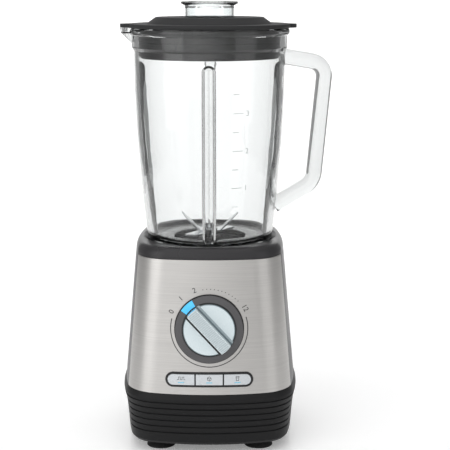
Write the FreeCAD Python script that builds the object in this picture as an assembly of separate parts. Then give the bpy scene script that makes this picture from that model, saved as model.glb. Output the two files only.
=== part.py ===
"""Countertop blender: a motor base with a dial and three buttons, and a glass jar with its lid and blades.

Millimetres. The origin is on the motor's axis, on the surface that the feet stand on.
+Z is up, the dial faces -Y, and the jar's handle is on +X.
"""

import FreeCAD, Part
import math
import os

# ---------------------------------------------------------------- driving sizes
# motor base, in plan a square with bowed sides and round corners, narrower at the top
BASE_HALF = 78.4          # half width where the steel meets the skirt
BASE_DEEPER = 2.0         # how much more the half depth is than the half width
TAPER = 0.0885            # half width lost for each mm of height
FRONT_BOW = 205.0         # plan radius of the front and back
SIDE_BOW = 270.0          # plan radius of the two sides
CORNER = 34.0             # plan radius of the corners
SKIRT_BOTTOM = 9.0        # clear height under the base
SKIRT_HEIGHT = 48.0
STEEL_HEIGHT = 120.0
COVER_HEIGHT = 10.0
COVER_BAND = 2.2          # straight edge of the cover, under its shoulder
COVER_SHOULDER = 6.0
SKIRT_FLARE = 1.5         # how far the skirt's top band stands out
SKIRT_FLARE_HEIGHT = 12.0
SKIRT_STEP = 1.0          # the tuck just below the flare
SKIRT_IN = 0.1735         # how fast the skirt narrows below the flare
SKIRT_FIRST_BAND = 8.0    # the top groove, below the skirt's top
BAND_PITCH = 5.7          # ribbed bands of the skirt
BAND_COUNT = 6
BAND_GROOVE = 0.9
WALL = 2.6                # moulded plastic
SKIN = 1.0                # steel sheet
SKIN_EDGE = 0.8           # rounding of the steel's top edge
PANEL_EDGE = 0.62         # the steel ends at this share of the half depth
SEAM = 0.1                # between two shells that meet
LIP = 4.0                 # height of the lips that centre one shell in the next
RAIL = 6.0                # thick band at the skirt's top
PLATE = 3.0               # bottom plate
VENT_ABOVE_SKIRT = 27.0   # air outlet slots in the back
VENT_HALF = 16.0
VENT_WIDTH = 3.2
VENT_PITCH = 6.4
VENT_COUNT = 11
INLET_ROWS = 9            # air inlet slots in the plate
INLET_PITCH = 6.4
INLET_WIDTH = 3.0
INLET_RADIUS = 30.0
# jar seat
SEAT_OPENING = 61.5
SEAT_RADIUS = 57.2
SEAT_DEPTH = 25.8         # below the cover's top
WELL_RADIUS = 17.0
WELL_DEPTH = 21.2
RUN_GAP = 0.3             # between parts that move past each other
SHAFT_FIT = 0.05          # radial, shaft in a bush
# glass jar
GLASS_WALL = 4.0
JAR_FOOT_RISE = 18.8      # the glass foot above the seat's floor
JAR_HEIGHT = 196.0
JAR_HEEL = 8.0
JAR_HEEL_RADIUS = 57.4
JAR_BELLY_RADIUS = 64.4
JAR_BELLY_RISE = 76.0     # above the glass foot
JAR_SHOULDER_RADIUS = 68.5
JAR_SHOULDER_DROP = 29.0  # below the rim, as the next ones
JAR_COLLAR_OUT = 1.8      # the thicker band below the rim
JAR_RIM_OUT = 4.1
NECK_RADIUS = 39.5
NECK_BORE = 33.0
NECK_LENGTH = 12.0
FLUTE_RADIUS = 6.0
FLUTE_DROP = 36.0
SPOUT_OUT = 8.1           # beyond the rim
SPOUT_HALF = 17.0
HANDLE_THICK = 14.6
HANDLE_WIDE = 20.0
HANDLE_TOP_DROP = 25.0
HANDLE_ELBOW_DROP = 31.5
HANDLE_ELBOW_OUT = 36.3   # beyond the shoulder
HANDLE_KNEE_RISE = 56.0   # above the glass foot
HANDLE_KNEE_OUT = 30.4    # beyond the belly
HANDLE_LOW_RISE = 34.5
HANDLE_ELBOW_BEND = 14.0
HANDLE_KNEE_BEND = 17.0
# lid and measuring cap
LID_OVERHANG = 0.8        # the flange beyond the glass rim
LID_FLANGE = 3.6
LID_TAB_OUT = 6.0
LID_TAB_HALF = 15.0
LID_DOME_FOOT = 57.0
LID_DOME_RADIUS = 48.6
LID_DOME = 5.8
LID_BAND = 6.4
LID_BANDS = 3
LID_BAND_DEEP = 0.9
LID_CLEAR = 0.4
LID_WALL = 3.0
LID_LEDGE = 1.6           # the step inside the neck that the cap stands on
CAP_RADIUS = 22.4
CAP_RIM_OUT = 3.5
CAP_RISE = 23.8           # above the glass rim
CAP_DROP = 24.5           # below it
CAP_WALL = 2.0
CAP_CROWN = 4.4           # the closed top's height
# blades and their drive
SHAFT_RADIUS = 4.0
SHAFT_STEP = 0.8          # how much thinner the shaft is in the nut
BUSH_RADIUS = 7.0
BUSH_LENGTH = 8.0
SEAL_HEIGHT = 2.8
BLADE_REACH = 29.0
BLADE_SHEET = 1.5
BLADE_WIDTH = 14.0
BLADE_HUB_RADIUS = 9.0
BLADE_HUB_RISE = 9.0      # above the glass foot
WASHER = 1.8
NUT_RADIUS = 6.4
NUT_HEIGHT = 4.5
SOCKET_RADIUS = 12.5
SOCKET_HEIGHT = 11.2
DRIVE_LOBES = 6
DRIVE_CORE = 7.2
DRIVE_REACH = 10.2
DRIVE_LOBE_WIDTH = 3.4
DRIVE_GAP = 0.5
DRIVE_DROP = 4.7          # the star's top below the seat's floor
COLLAR_RADIUS = 50.5
COLLAR_FLOOR = 2.0
COLLAR_RIDGES = 40
CARRIER_FLANGE = 2.9
LUGS = 4
LUG_FIRST = 45.0          # degrees
LUG_WIDTH = 14.0
LUG_REACH = 3.4
LUG_HEIGHT = 11.0
LUG_WAY = 0.6
KEY_WIDTH = 4.0
# motor
BRACKET_DROP = 7.0        # upper bracket below the well
BRACKET_SHEET = 4.0
STACK_DROP = 9.0          # below the upper bracket
STACK_HEIGHT = 36.0
STACK_HALF_X = 39.0
STACK_HALF_Y = 33.0
ROTOR_RADIUS = 21.6
AIR_GAP = 0.8
ROTOR_SLOTS = 12
SLOT_WIDTH = 2.6
SLOT_DEPTH = 8.0
COIL_DEPTH = 6.0
COIL_END = 7.0
COIL_HEAD = 5.0
COMMUTATOR_RADIUS = 11.0
COMMUTATOR_BARS = 24
COMMUTATOR_DROP = 6.0     # below the stack, as the next three
COMMUTATOR_LENGTH = 14.5
BRUSH_DROP = 14.5         # to the brush's middle
LOWER_BRACKET_DROP = 26.0
BRUSH_HALF = 4.2
BRUSH_HALF_WIDTH = 3.2
BRUSH_WAY = 0.1
FAN_DROP = 18.0           # below the lower bracket
FAN_RADIUS = 29.0
FAN_HEIGHT = 10.0
FAN_BLADES = 11
BEARING_RADIUS = 9.5
BOLT_X = 34.5
BOLT_RADIUS = 2.0
MOUNT_X = 44.0
MOUNT_RADIUS = 6.0
MOUNT_HEIGHT = 6.0
MOUNT_SCREW = 1.8
# dial, buttons and board, in the panel's own frame
DIAL_ABOVE_SKIRT = 59.0
DIAL_RADIUS = 30.0
DIAL_SEAT_EDGE = 0.8
DIAL_SHAFT = 3.0
BEZEL_WAY = 0.1
SEAT_FACE = 0.8           # the dial seat's front, out from the panel
RING_TOP = 4.1
RING_CROWN = 4.9
KNOB_RADIUS = 23.6
KNOB_FOOT = 3.0
KNOB_FACE = 7.0
KNOB_REST = 133.0         # degrees, the way the grip points
GRIP_HALF = 5.2
GRIP_TOP = 16.5
POINTER_HALF = 13.0       # degrees
BUTTON_DROP = 45.4        # below the dial's centre
BUTTON_HALF = 5.0
BUTTON_ROW_HALF = 37.2
BUTTON_WAY = 0.3          # side clearance of a button
BUTTON_BAR = 0.7          # bar between two buttons
BUTTON_FRAME = 1.75
BUTTON_FRAME_PROUD = 0.7
BUTTON_PROUD = 1.2
BUTTON_STEM = 2.5
BUTTON_STEM_END = 11.0
LIGHT_HALF_LENGTH = 2.6
LIGHT_HALF_WIDTH = 0.45
LIGHT_DROP = 0.52         # below the button's middle, as a share of its half height
BOARD_DEPTH = 18.0
BOARD = 1.6
BOARD_HALF = 35.0
BOARD_POST_X = 31.0
BOARD_POST_RADIUS = 3.0
ENCODER_BUSH = 5.5
# screws, feet and cord inlet
SCREW_RADIUS = 1.8
SCREW_HEAD = 3.6
SCREW_BOSS = 6.0
SCREW_BOSS_TOP = 36.0
SCREW_Y = 20.0
FOOT_X = 44.5
FOOT_Y = 48.0
FOOT_RADIUS = 12.9
FOOT_STEM = 4.0
CORD_RADIUS = 3.6
CORD_Z = 30.0
GLAND_WALL = 2.0
GLAND_DEPTH = 9.0         # inside the skirt's back face
GLAND_STAND = 1.0         # the flange clear of the leaning face
GLAND_FLANGE = 2.5
TERMINAL_Y = 55.0

# ---------------------------------------------------------------- heights and radii that follow
SKIRT_TOP = SKIRT_BOTTOM + SKIRT_HEIGHT
HOUSING_TOP = SKIRT_TOP + STEEL_HEIGHT
COVER_TOP = HOUSING_TOP + COVER_HEIGHT
SEAT_FLOOR = COVER_TOP - SEAT_DEPTH
WELL_BOTTOM = SEAT_FLOOR - WELL_DEPTH
PLATE_TOP = SKIRT_BOTTOM + PLATE
VENT_Z = SKIRT_TOP + VENT_ABOVE_SKIRT
DIAL_Z = SKIRT_TOP + DIAL_ABOVE_SKIRT
HOUSING_INSET = SKIN + SEAM + WALL
JAR_FOOT = SEAT_FLOOR + JAR_FOOT_RISE
JAR_TOP = JAR_FOOT + JAR_HEIGHT
JAR_BELLY_Z = JAR_FOOT + JAR_BELLY_RISE
JAR_SHOULDER_Z = JAR_TOP - JAR_SHOULDER_DROP
JAR_COLLAR_RADIUS = JAR_SHOULDER_RADIUS + JAR_COLLAR_OUT
JAR_RIM_RADIUS = JAR_SHOULDER_RADIUS + JAR_RIM_OUT
NECK_BOTTOM = JAR_FOOT - NECK_LENGTH
FLUTE_TOP = JAR_TOP - FLUTE_DROP
SPOUT_REACH = JAR_RIM_RADIUS + SPOUT_OUT
LID_FLANGE_RADIUS = JAR_RIM_RADIUS + LID_OVERHANG
LID_TAB_REACH = JAR_RIM_RADIUS + LID_TAB_OUT
CAP_TOP = JAR_TOP + CAP_RISE
CAP_FOOT = JAR_TOP - CAP_DROP
CAP_RIM_RADIUS = CAP_RADIUS + CAP_RIM_OUT
BLADE_HUB_Z = JAR_FOOT + BLADE_HUB_RISE
CARRIER_TOP = JAR_FOOT + 6.0
COLLAR_LOW = SEAT_FLOOR + RUN_GAP
CARRIER_LOW = COLLAR_LOW + COLLAR_FLOOR
LUG_TOP = SEAT_FLOOR + LUG_HEIGHT
STAR_TOP = SEAT_FLOOR - DRIVE_DROP
BRACKET_LOW = WELL_BOTTOM - BRACKET_DROP
MOUNT_TOP = BRACKET_LOW + BRACKET_SHEET + MOUNT_HEIGHT
STACK_TOP = BRACKET_LOW - STACK_DROP
STACK_BOTTOM = STACK_TOP - STACK_HEIGHT
COMMUTATOR_TOP = STACK_BOTTOM - COMMUTATOR_DROP
COMMUTATOR_LOW = COMMUTATOR_TOP - COMMUTATOR_LENGTH
BRUSH_Z = STACK_BOTTOM - BRUSH_DROP
LOWER_BRACKET = STACK_BOTTOM - LOWER_BRACKET_DROP
FAN_LOW = LOWER_BRACKET - FAN_DROP
DIAL_SEAT_RADIUS = DIAL_RADIUS + DIAL_SEAT_EDGE
POINTER_LOW = KNOB_REST - POINTER_HALF
POINTER_HIGH = KNOB_REST + POINTER_HALF
BOARD_POSTS = [(sx * BOARD_POST_X, y) for sx in (-1, 1) for y in (24.5, -28.0)]
FOOT_PLACES = [(sx * FOOT_X, sy * FOOT_Y) for sy in (-1, 1) for sx in (-1, 1)]
GLAND_RADIUS = CORD_RADIUS + GLAND_WALL
MOUNT_PLACES = (-MOUNT_X, MOUNT_X)
BOLT_PLACES = (-BOLT_X, BOLT_X)

TINY = 0.01
UP = FreeCAD.Vector(0, 0, 1)


# ---------------------------------------------------------------- shared shapes
def at(x, y, z):
    return FreeCAD.Vector(x, y, z)


def cylinder(radius, low, high, x=0.0, y=0.0):
    return Part.makeCylinder(radius, high - low, at(x, y, low), UP)


def ring(inner, outer, low, high, x=0.0, y=0.0):
    return cylinder(outer, low, high, x, y).cut(cylinder(inner, low - 1, high + 1, x, y))


def box(x0, x1, y0, y1, z0, z1):
    return Part.makeBox(x1 - x0, y1 - y0, z1 - z0, at(x0, y0, z0))


def turned(shape, degrees, x=0.0, y=0.0):
    copy = shape.copy()
    copy.rotate(at(x, y, 0), UP, degrees)
    return copy


def around(shape, count, first=0.0):
    return [turned(shape, first + 360.0 * i / count) for i in range(count)]


def fused(first, *others):
    return first.multiFuse([s for s in others]).removeSplitter()


def outline(start, *steps):
    """A closed wire in the XZ plane. A step is a point (a line), a pair of points (an arc through the
    first to the second) or a list of points (a smooth curve)."""
    here = at(start[0], 0, start[1])
    edges = []
    for step in steps + (start,):
        if isinstance(step, list):
            points = [here] + [at(x, 0, z) for x, z in step]
            curve = Part.BSplineCurve()
            curve.interpolate(points)
            edges.append(curve.toShape())
            here = points[-1]
        elif isinstance(step[0], tuple):
            (mid_x, mid_z), (end_x, end_z) = step
            edges.append(Part.Arc(here, at(mid_x, 0, mid_z), at(end_x, 0, end_z)).toShape())
            here = at(end_x, 0, end_z)
        else:
            end = at(step[0], 0, step[1])
            if here.distanceToPoint(end) > TINY:
                edges.append(Part.LineSegment(here, end).toShape())
            here = end
    return Part.Wire(edges)


def revolved(start, *steps):
    return Part.Face(outline(start, *steps)).revolve(at(0, 0, 0), UP, 360)


def sector(inner, outer, low, high, first, last):
    """A block between two radii and two heights, from one angle to another in degrees."""
    face = Part.Face(outline((inner, low), (outer, low), (outer, high), (inner, high)))
    return turned(face.revolve(at(0, 0, 0), UP, last - first), first)


def save(node, *shapes):
    """Writes a node's solids to its STEP file."""
    solids = [solid for shape in shapes for solid in shape.Solids]
    for solid in solids:
        if not solid.isValid() or solid.Volume <= 0:
            raise ValueError(f"{node} has a bad solid")
    whole = solids[0] if len(solids) == 1 else Part.makeCompound(solids)
    whole.exportStep(f"parts/{node}.step")


# ---------------------------------------------------------------- the base's tapered block
def half_width(z):
    return BASE_HALF - TAPER * (z - SKIRT_TOP)


def plan(z, inset):
    """The base's outline at one height: a bowed front, back and sides joined by tangent corners."""
    a = half_width(z) - inset
    b = half_width(z) + BASE_DEEPER - inset
    bow, side, corner = FRONT_BOW - inset, SIDE_BOW - inset, max(CORNER - inset, 2.0)
    front_y = bow - b
    side_x = a - side
    to_front, to_side = bow - corner, side - corner
    apart = math.hypot(side_x, front_y)
    along = (to_front**2 - to_side**2 + apart**2) / (2 * apart)
    off = math.sqrt(to_front**2 - along**2)
    ux, uy = side_x / apart, -front_y / apart
    cx = ux * along - uy * off
    cy = front_y + uy * along + ux * off
    if cx < 0 or cy > 0:
        cx = ux * along + uy * off
        cy = front_y + uy * along - ux * off
    front_end = (cx * bow / to_front, front_y + (cy - front_y) * bow / to_front)
    side_end = (side_x + (cx - side_x) * side / to_side, cy * side / to_side)
    mx = (front_end[0] + side_end[0]) / 2 - cx
    my = (front_end[1] + side_end[1]) / 2 - cy
    reach = corner / math.hypot(mx, my)
    mid = (cx + mx * reach, cy + my * reach)
    edges = []
    for sx, sy in ((1, -1), (1, 1), (-1, 1), (-1, -1)):
        f, m, s = [(sx * p[0], -sy * p[1]) for p in (front_end, mid, side_end)]
        if sx * sy < 0:
            edges.append((f, m, s))
            edges.append((s, (sx * a, 0.0), (s[0], -s[1])))
        else:
            edges.append((s, m, f))
            edges.append((f, (0.0, sy * b), (-f[0], f[1])))
    return Part.Wire([Part.Arc(*[at(x, y, z) for x, y in e]).toShape() for e in edges])


def block(*levels):
    """A solid through the plan outlines at (height, inset) levels."""
    return Part.makeLoft([plan(z, inset) for z, inset in levels], True, True)


def straight_block(low, high, inset):
    return block((low, inset), (high, inset))


def prism(low, high, z, inset):
    """An upright solid whose outline is the plan at height z."""
    wire = plan(z, inset)
    wire.translate(at(0, 0, low - z))
    return Part.Face(wire).extrude(at(0, 0, high - low))


def front_wedge(low, high, extra=0.0):
    """Everything in front of the line where the steel ends."""
    def edge(z):
        return -PANEL_EDGE * (half_width(z) + BASE_DEEPER) + extra
    far = -3 * BASE_HALF
    points = [at(0, edge(low), low), at(0, edge(high), high), at(0, far, high), at(0, far, low)]
    face = Part.Face(Part.makePolygon(points + points[:1]))
    face.translate(at(-2 * BASE_HALF, 0, 0))
    return face.extrude(at(4 * BASE_HALF, 0, 0))


# ---------------------------------------------------------------- the front panel's own frame
PANEL_LEAN = math.degrees(math.atan(TAPER))
PANEL_Y = -(half_width(DIAL_Z) + BASE_DEEPER)


def on_panel(shape):
    """Moves a shape from the panel's frame (x right, y up the panel, z outwards) to the base's."""
    moved = shape.copy()
    turn = FreeCAD.Rotation(at(1, 0, 0), 90 - PANEL_LEAN)
    moved.Placement = FreeCAD.Placement(at(0, PANEL_Y, DIAL_Z), turn).multiply(moved.Placement)
    return moved


def slot_prism(left, right, half, low, high, round_left, round_right):
    """A bar along x in the panel's frame at the buttons' height, with round or square ends."""
    y = -BUTTON_DROP
    start = left + half if round_left else left
    end = right - half if round_right else right
    bar = box(start, end, y - half, y + half, low, high)
    if round_left:
        bar = bar.fuse(cylinder(half, low, high, start, y))
    if round_right:
        bar = bar.fuse(cylinder(half, low, high, end, y))
    return bar.removeSplitter()


def proud_of_panel(amount):
    """The base's block grown by an amount, to give a part the panel's curve."""
    return straight_block(SKIRT_TOP - 10, HOUSING_TOP + 10, -amount)


# ---------------------------------------------------------------- base shells
def skirt_inset(z):
    """How far the skirt lies inside the base's own taper, which goes on outwards below the steel."""
    below = SKIRT_TOP - SKIRT_FLARE_HEIGHT - z
    if below <= 0:
        return -SKIRT_FLARE * math.sin(math.pi * (SKIRT_TOP - z) / SKIRT_FLARE_HEIGHT)
    return SKIRT_STEP * (1 - math.exp(-below / 5.0)) + SKIRT_IN * below


def skirt_face():
    """The y of the skirt's back face at the cord's height."""
    return half_width(CORD_Z) + BASE_DEEPER - skirt_inset(CORD_Z)


def plate_inset():
    return skirt_inset(SKIRT_BOTTOM) + WALL + BAND_GROOVE + RUN_GAP


def screw_places():
    x = half_width(SKIRT_BOTTOM) - skirt_inset(SKIRT_BOTTOM) - WALL - 2 * SCREW_HEAD
    return [(sx * x, sy * SCREW_Y) for sx in (-1, 1) for sy in (-1, 1)]


def base_skirt():
    """Ribbed black ring under the steel, with the cord's hole and a lip that centres the housing."""
    first_band = SKIRT_TOP - SKIRT_FIRST_BAND
    levels = [(SKIRT_BOTTOM, skirt_inset(SKIRT_BOTTOM) + 2.0)]
    levels.append((SKIRT_BOTTOM + 2.5, skirt_inset(SKIRT_BOTTOM + 2.5)))
    for i in reversed(range(BAND_COUNT)):
        z = first_band - BAND_PITCH * i
        for dz, deep in ((-0.8, 0.0), (-0.25, BAND_GROOVE), (0.25, BAND_GROOVE), (0.8, 0.0)):
            levels.append((z + dz, skirt_inset(z + dz) + deep))
    levels += [(SKIRT_TOP - t, skirt_inset(SKIRT_TOP - t)) for t in (5.0, 2.5)]
    levels.append((SKIRT_TOP, 0.0))
    outer = block(*levels)
    lip_z = SKIRT_TOP + LIP
    lip = prism(SKIRT_TOP - 3, lip_z, lip_z, HOUSING_INSET + SEAM)
    rail = SKIRT_TOP - RAIL
    inner = block(*[(z, skirt_inset(z) + WALL + BAND_GROOVE) for z in (SKIRT_BOTTOM - 1, rail)])
    inner = inner.fuse(prism(rail - 1, lip_z + 1, lip_z, HOUSING_INSET + SEAM + WALL))
    bosses = [
        cylinder(SCREW_BOSS, PLATE_TOP + SEAM, SCREW_BOSS_TOP, x, y).common(outer)
        for x, y in screw_places()
    ]
    pilots = [cylinder(SCREW_RADIUS, SKIRT_BOTTOM, SCREW_BOSS_TOP - 3, x, y) for x, y in screw_places()]
    hole = Part.makeCylinder(GLAND_RADIUS, 40, at(0, skirt_face() - 20, CORD_Z), at(0, 1, 0))
    shell = outer.fuse(lip).cut(inner)
    return fused(shell, *bosses).cut(Part.makeCompound(pilots + [hole]))


def housing():
    """Dark shell of the sides and back, which runs on behind the steel."""
    shell = straight_block(SKIRT_TOP, HOUSING_TOP, 0)
    shell = shell.cut(straight_block(SKIRT_TOP - 1, HOUSING_TOP + 1, HOUSING_INSET))
    rebate = straight_block(SKIRT_TOP - 1, HOUSING_TOP + 1, -5)
    rebate = rebate.cut(straight_block(SKIRT_TOP - 2, HOUSING_TOP + 2, SKIN + SEAM))
    rebate = rebate.common(front_wedge(SKIRT_TOP - 2, HOUSING_TOP + 2, SEAM))
    shell = shell.cut(rebate)
    back = half_width(VENT_Z) + BASE_DEEPER
    for i in range(VENT_COUNT):
        x = (i - (VENT_COUNT - 1) / 2) * VENT_PITCH
        slot = box(x - VENT_WIDTH / 2, x + VENT_WIDTH / 2, back - 15, back + 15,
                   VENT_Z - VENT_HALF, VENT_Z + VENT_HALF)
        shell = shell.cut(slot)
    posts = [
        on_panel(cylinder(BOARD_POST_RADIUS, BOARD - BOARD_DEPTH, -HOUSING_INSET - 0.9, x, y))
        for x, y in BOARD_POSTS
    ]
    return fused(shell.cut(panel_holes(BEZEL_WAY)), *posts)


def panel_holes(way):
    """The dial's and the buttons' cut-outs, larger by a clearance than what fits in them."""
    dial = cylinder(DIAL_SEAT_RADIUS + way, -14, 14)
    row = slot_prism(-BUTTON_ROW_HALF - BUTTON_FRAME - way, BUTTON_ROW_HALF + BUTTON_FRAME + way,
                     BUTTON_HALF + BUTTON_FRAME + way, -14, 14, True, True)
    return on_panel(Part.makeCompound([dial, row]))


def front_panel():
    """Brushed steel sheet wrapped round the front and its corners, with a rounded top edge."""
    top = HOUSING_TOP - SEAM
    levels = [(SKIRT_TOP + SEAM, 0.0)]
    levels += [(top - SKIN_EDGE * (1 - math.sin(t)), SKIN_EDGE * (1 - math.cos(t)))
               for t in (0.0, math.pi / 6, math.pi / 3, math.pi / 2.1)]
    sheet = block(*levels)
    sheet = sheet.cut(straight_block(SKIRT_TOP - 1, HOUSING_TOP + 1, SKIN))
    sheet = sheet.common(front_wedge(SKIRT_TOP - 1, HOUSING_TOP + 1))
    return sheet.cut(panel_holes(BEZEL_WAY))


def top_cover():
    """Dark glossy cover with the jar's round seat, the drive's well and the motor's mounting posts."""
    turns = [i * math.pi / 12 for i in range(7)]
    rise = COVER_TOP - HOUSING_TOP - COVER_BAND
    levels = [(HOUSING_TOP + SEAM, 0.0)]
    levels += [(HOUSING_TOP + COVER_BAND + rise * math.sin(t), COVER_SHOULDER * (1 - math.cos(t)))
               for t in turns]
    lip = prism(HOUSING_TOP - LIP, HOUSING_TOP + 1, HOUSING_TOP, HOUSING_INSET + SEAM)
    hollow = prism(HOUSING_TOP - LIP - 1, COVER_TOP - WALL, HOUSING_TOP, HOUSING_INSET + SEAM + WALL)
    shell = block(*levels).fuse(lip).cut(hollow)
    cup = cylinder(SEAT_RADIUS + WALL, SEAT_FLOOR - WALL, COVER_TOP - WALL)
    well = cylinder(WELL_RADIUS + WALL, WELL_BOTTOM, SEAT_FLOOR)
    posts = [cylinder(MOUNT_RADIUS, MOUNT_TOP, SEAT_FLOOR, x, 0) for x in MOUNT_PLACES]
    whole = fused(shell, cup, well, *posts)
    chamfer = SEAT_OPENING - SEAT_RADIUS
    bowl = revolved((0, SEAT_FLOOR), (SEAT_RADIUS, SEAT_FLOOR), (SEAT_RADIUS, COVER_TOP - chamfer),
                    (SEAT_OPENING, COVER_TOP), (SEAT_OPENING, COVER_TOP + 5), (0, COVER_TOP + 5))
    whole = whole.cut(bowl)
    whole = whole.cut(cylinder(WELL_RADIUS, WELL_BOTTOM + WALL, SEAT_FLOOR + 1))
    whole = whole.cut(cylinder(SHAFT_RADIUS + 2.5, WELL_BOTTOM - 1, WELL_BOTTOM + WALL + 1))
    pilots = [cylinder(MOUNT_SCREW, MOUNT_TOP - 1, MOUNT_TOP + 12, x, 0) for x in MOUNT_PLACES]
    whole = whole.cut(Part.makeCompound(pilots))
    keys = []
    for side in (-1, 1):
        middle = side * (LUG_WIDTH / 2 + LUG_WAY + KEY_WIDTH / 2)
        key = box(COLLAR_RADIUS + 0.8, SEAT_RADIUS + 1, middle - KEY_WIDTH / 2, middle + KEY_WIDTH / 2,
                  SEAT_FLOOR - 1, LUG_TOP)
        keys += around(key, LUGS, LUG_FIRST)
    return fused(whole, *keys)


def bottom_plate():
    """Closing plate with its air inlet slots, foot holes and countersunk screw holes."""
    plate = block((SKIRT_BOTTOM, plate_inset()), (PLATE_TOP, plate_inset()))
    cuts = [cylinder(FOOT_STEM + 0.2, 0, 20, x, y) for x, y in FOOT_PLACES]
    cuts += [cylinder(SCREW_RADIUS + 0.3, 0, 20, x, y) for x, y in screw_places()]
    cuts += [cylinder(SCREW_HEAD + 0.3, 0, PLATE_TOP - 1.2, x, y) for x, y in screw_places()]
    for i in range(INLET_ROWS):
        y = (i - (INLET_ROWS - 1) / 2) * INLET_PITCH
        half = math.sqrt(INLET_RADIUS**2 - y**2)
        cuts.append(box(-half, half, y - INLET_WIDTH / 2, y + INLET_WIDTH / 2, 0, 20))
    return plate.cut(Part.makeCompound(cuts))


def foot(x, y):
    """Rubber suction foot: a stem with a head above the plate, a neck and a hollow cup."""
    shape = revolved((0, 1.5), ((6.0, 1.3), (FOOT_RADIUS - 3.5, 0.0)), (FOOT_RADIUS - 0.6, 0.0),
                     ((FOOT_RADIUS, 0.4), (FOOT_RADIUS - 0.2, 1.2)), (FOOT_RADIUS - 3.2, 4.4),
                     (FOOT_RADIUS - 3.6, 6.0), (FOOT_RADIUS - 3.6, SKIRT_BOTTOM - 0.1),
                     (FOOT_STEM, SKIRT_BOTTOM - 0.1), (FOOT_STEM, PLATE_TOP + 0.1),
                     (FOOT_STEM + 2, PLATE_TOP + 0.1), (FOOT_STEM + 1, PLATE_TOP + 2.5),
                     (0, PLATE_TOP + 2.5))
    shape.translate(at(x, y, 0))
    return shape


def case_screws():
    """Four self-tapping screws that hold the bottom plate to the skirt."""
    screws = []
    for x, y in screw_places():
        head = cylinder(SCREW_HEAD, PLATE_TOP - 3.4, PLATE_TOP - 1.2, x, y)
        head = head.cut(box(x - 2.2, x + 2.2, y - 0.4, y + 0.4, 0, PLATE_TOP - 2.4))
        head = head.cut(box(x - 0.4, x + 0.4, y - 2.2, y + 2.2, 0, PLATE_TOP - 2.4))
        screws.append(head.fuse(cylinder(SCREW_RADIUS - 0.1, PLATE_TOP - 1.2, PLATE_TOP + 14, x, y)))
    return screws


def cord_gland():
    """Bush in the back of the skirt that the supply cord would pass through."""
    y = skirt_face()
    inner = y - GLAND_DEPTH
    out = y + GLAND_STAND
    body = Part.makeCylinder(GLAND_RADIUS - 0.1, out + 1 - inner, at(0, inner, CORD_Z), at(0, 1, 0))
    flange = Part.makeCylinder(GLAND_RADIUS + 2.2, GLAND_FLANGE, at(0, out, CORD_Z), at(0, 1, 0))
    nut = Part.makeCylinder(GLAND_RADIUS + 2.0, 3.0, at(0, inner, CORD_Z), at(0, 1, 0))
    bore = Part.makeCylinder(CORD_RADIUS, 40, at(0, y - 20, CORD_Z), at(0, 1, 0))
    return fused(body, flange, nut).cut(bore)


# ---------------------------------------------------------------- dial and buttons
def dial_seat():
    """Black cup set in the panel, which the dial turns in front of."""
    body = cylinder(DIAL_SEAT_RADIUS, -9, SEAT_FACE)
    flange = cylinder(DIAL_SEAT_RADIUS + 3.5, -11, -8.8)
    body = body.fuse(flange).cut(cylinder(DIAL_SEAT_RADIUS - 3, -12, -2))
    body = body.cut(cylinder(DIAL_SHAFT + 0.6, -12, 5))
    return on_panel(body)


def dial_skirt():
    """Dark satin ring that turns with the knob, with a gap for the lit pointer."""
    low = SEAT_FACE + RUN_GAP
    lap = KNOB_RADIUS + 0.5
    shape = revolved((DIAL_SHAFT, low), (DIAL_RADIUS, low), (DIAL_RADIUS, RING_TOP - 0.5),
                     (DIAL_RADIUS - 0.5, RING_TOP), (lap, RING_CROWN), (lap, KNOB_FOOT),
                     (DIAL_SHAFT, KNOB_FOOT))
    return on_panel(shape.cut(sector(KNOB_RADIUS, DIAL_RADIUS + 1, 2.2, 6, POINTER_LOW, POINTER_HIGH)))


def pointer_lens():
    """Blue light window in the ring and up the end of the grip."""
    edge = DIAL_RADIUS - 0.1
    window = revolved((KNOB_RADIUS + 0.5, 2.25), (edge, 2.25), (edge, RING_TOP - 0.5),
                      (DIAL_RADIUS - 0.5, RING_TOP), (KNOB_RADIUS + 0.5, RING_CROWN))
    window = window.common(sector(KNOB_RADIUS, DIAL_RADIUS, 2, 6, POINTER_LOW + 0.3, POINTER_HIGH - 0.3))
    strip = ring(KNOB_RADIUS - 1.6, KNOB_RADIUS - 0.7, 7.2, GRIP_TOP - 3).common(
        turned(box(0, KNOB_RADIUS + 5, -GRIP_HALF + 1, GRIP_HALF - 1, 0, 30), KNOB_REST))
    return [on_panel(window), on_panel(strip)]


def knob():
    """Disc with a straight grip across it, bored for the encoder's shaft."""
    low = KNOB_FOOT + 0.05
    disc = revolved((0, low), (KNOB_RADIUS, low), (KNOB_RADIUS, KNOB_FACE - 1.4),
                    (KNOB_RADIUS - 1.6, KNOB_FACE), (0, KNOB_FACE))
    foot_half = GRIP_HALF + 1.6
    half = ((foot_half, KNOB_FACE - 1), (foot_half, KNOB_FACE + 0.2), (GRIP_HALF, KNOB_FACE + 2.5),
            (GRIP_HALF, GRIP_TOP))
    far = DIAL_RADIUS
    points = [at(-far, y, z) for y, z in half] + [at(-far, -y, z) for y, z in reversed(half)]
    side = Part.Face(Part.makePolygon(points + points[:1]))
    grip = side.extrude(at(2 * far, 0, 0)).common(
        revolved((0, KNOB_FACE - 1), (KNOB_RADIUS - 0.6, KNOB_FACE - 1), (KNOB_RADIUS - 0.9, GRIP_TOP - 0.8),
                 (KNOB_RADIUS - 1.7, GRIP_TOP), (0, GRIP_TOP)))
    grip = turned(grip, KNOB_REST)
    notch = ring(KNOB_RADIUS - 1.7, KNOB_RADIUS + 1, 7.1, GRIP_TOP - 2.9).common(
        turned(box(0, KNOB_RADIUS + 5, -GRIP_HALF + 0.9, GRIP_HALF - 0.9, 0, 30), KNOB_REST))
    shape = disc.fuse(grip).cut(notch)
    shape = shape.cut(cylinder(DIAL_SHAFT, 0, 11))
    return on_panel(shape.removeSplitter())


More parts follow.
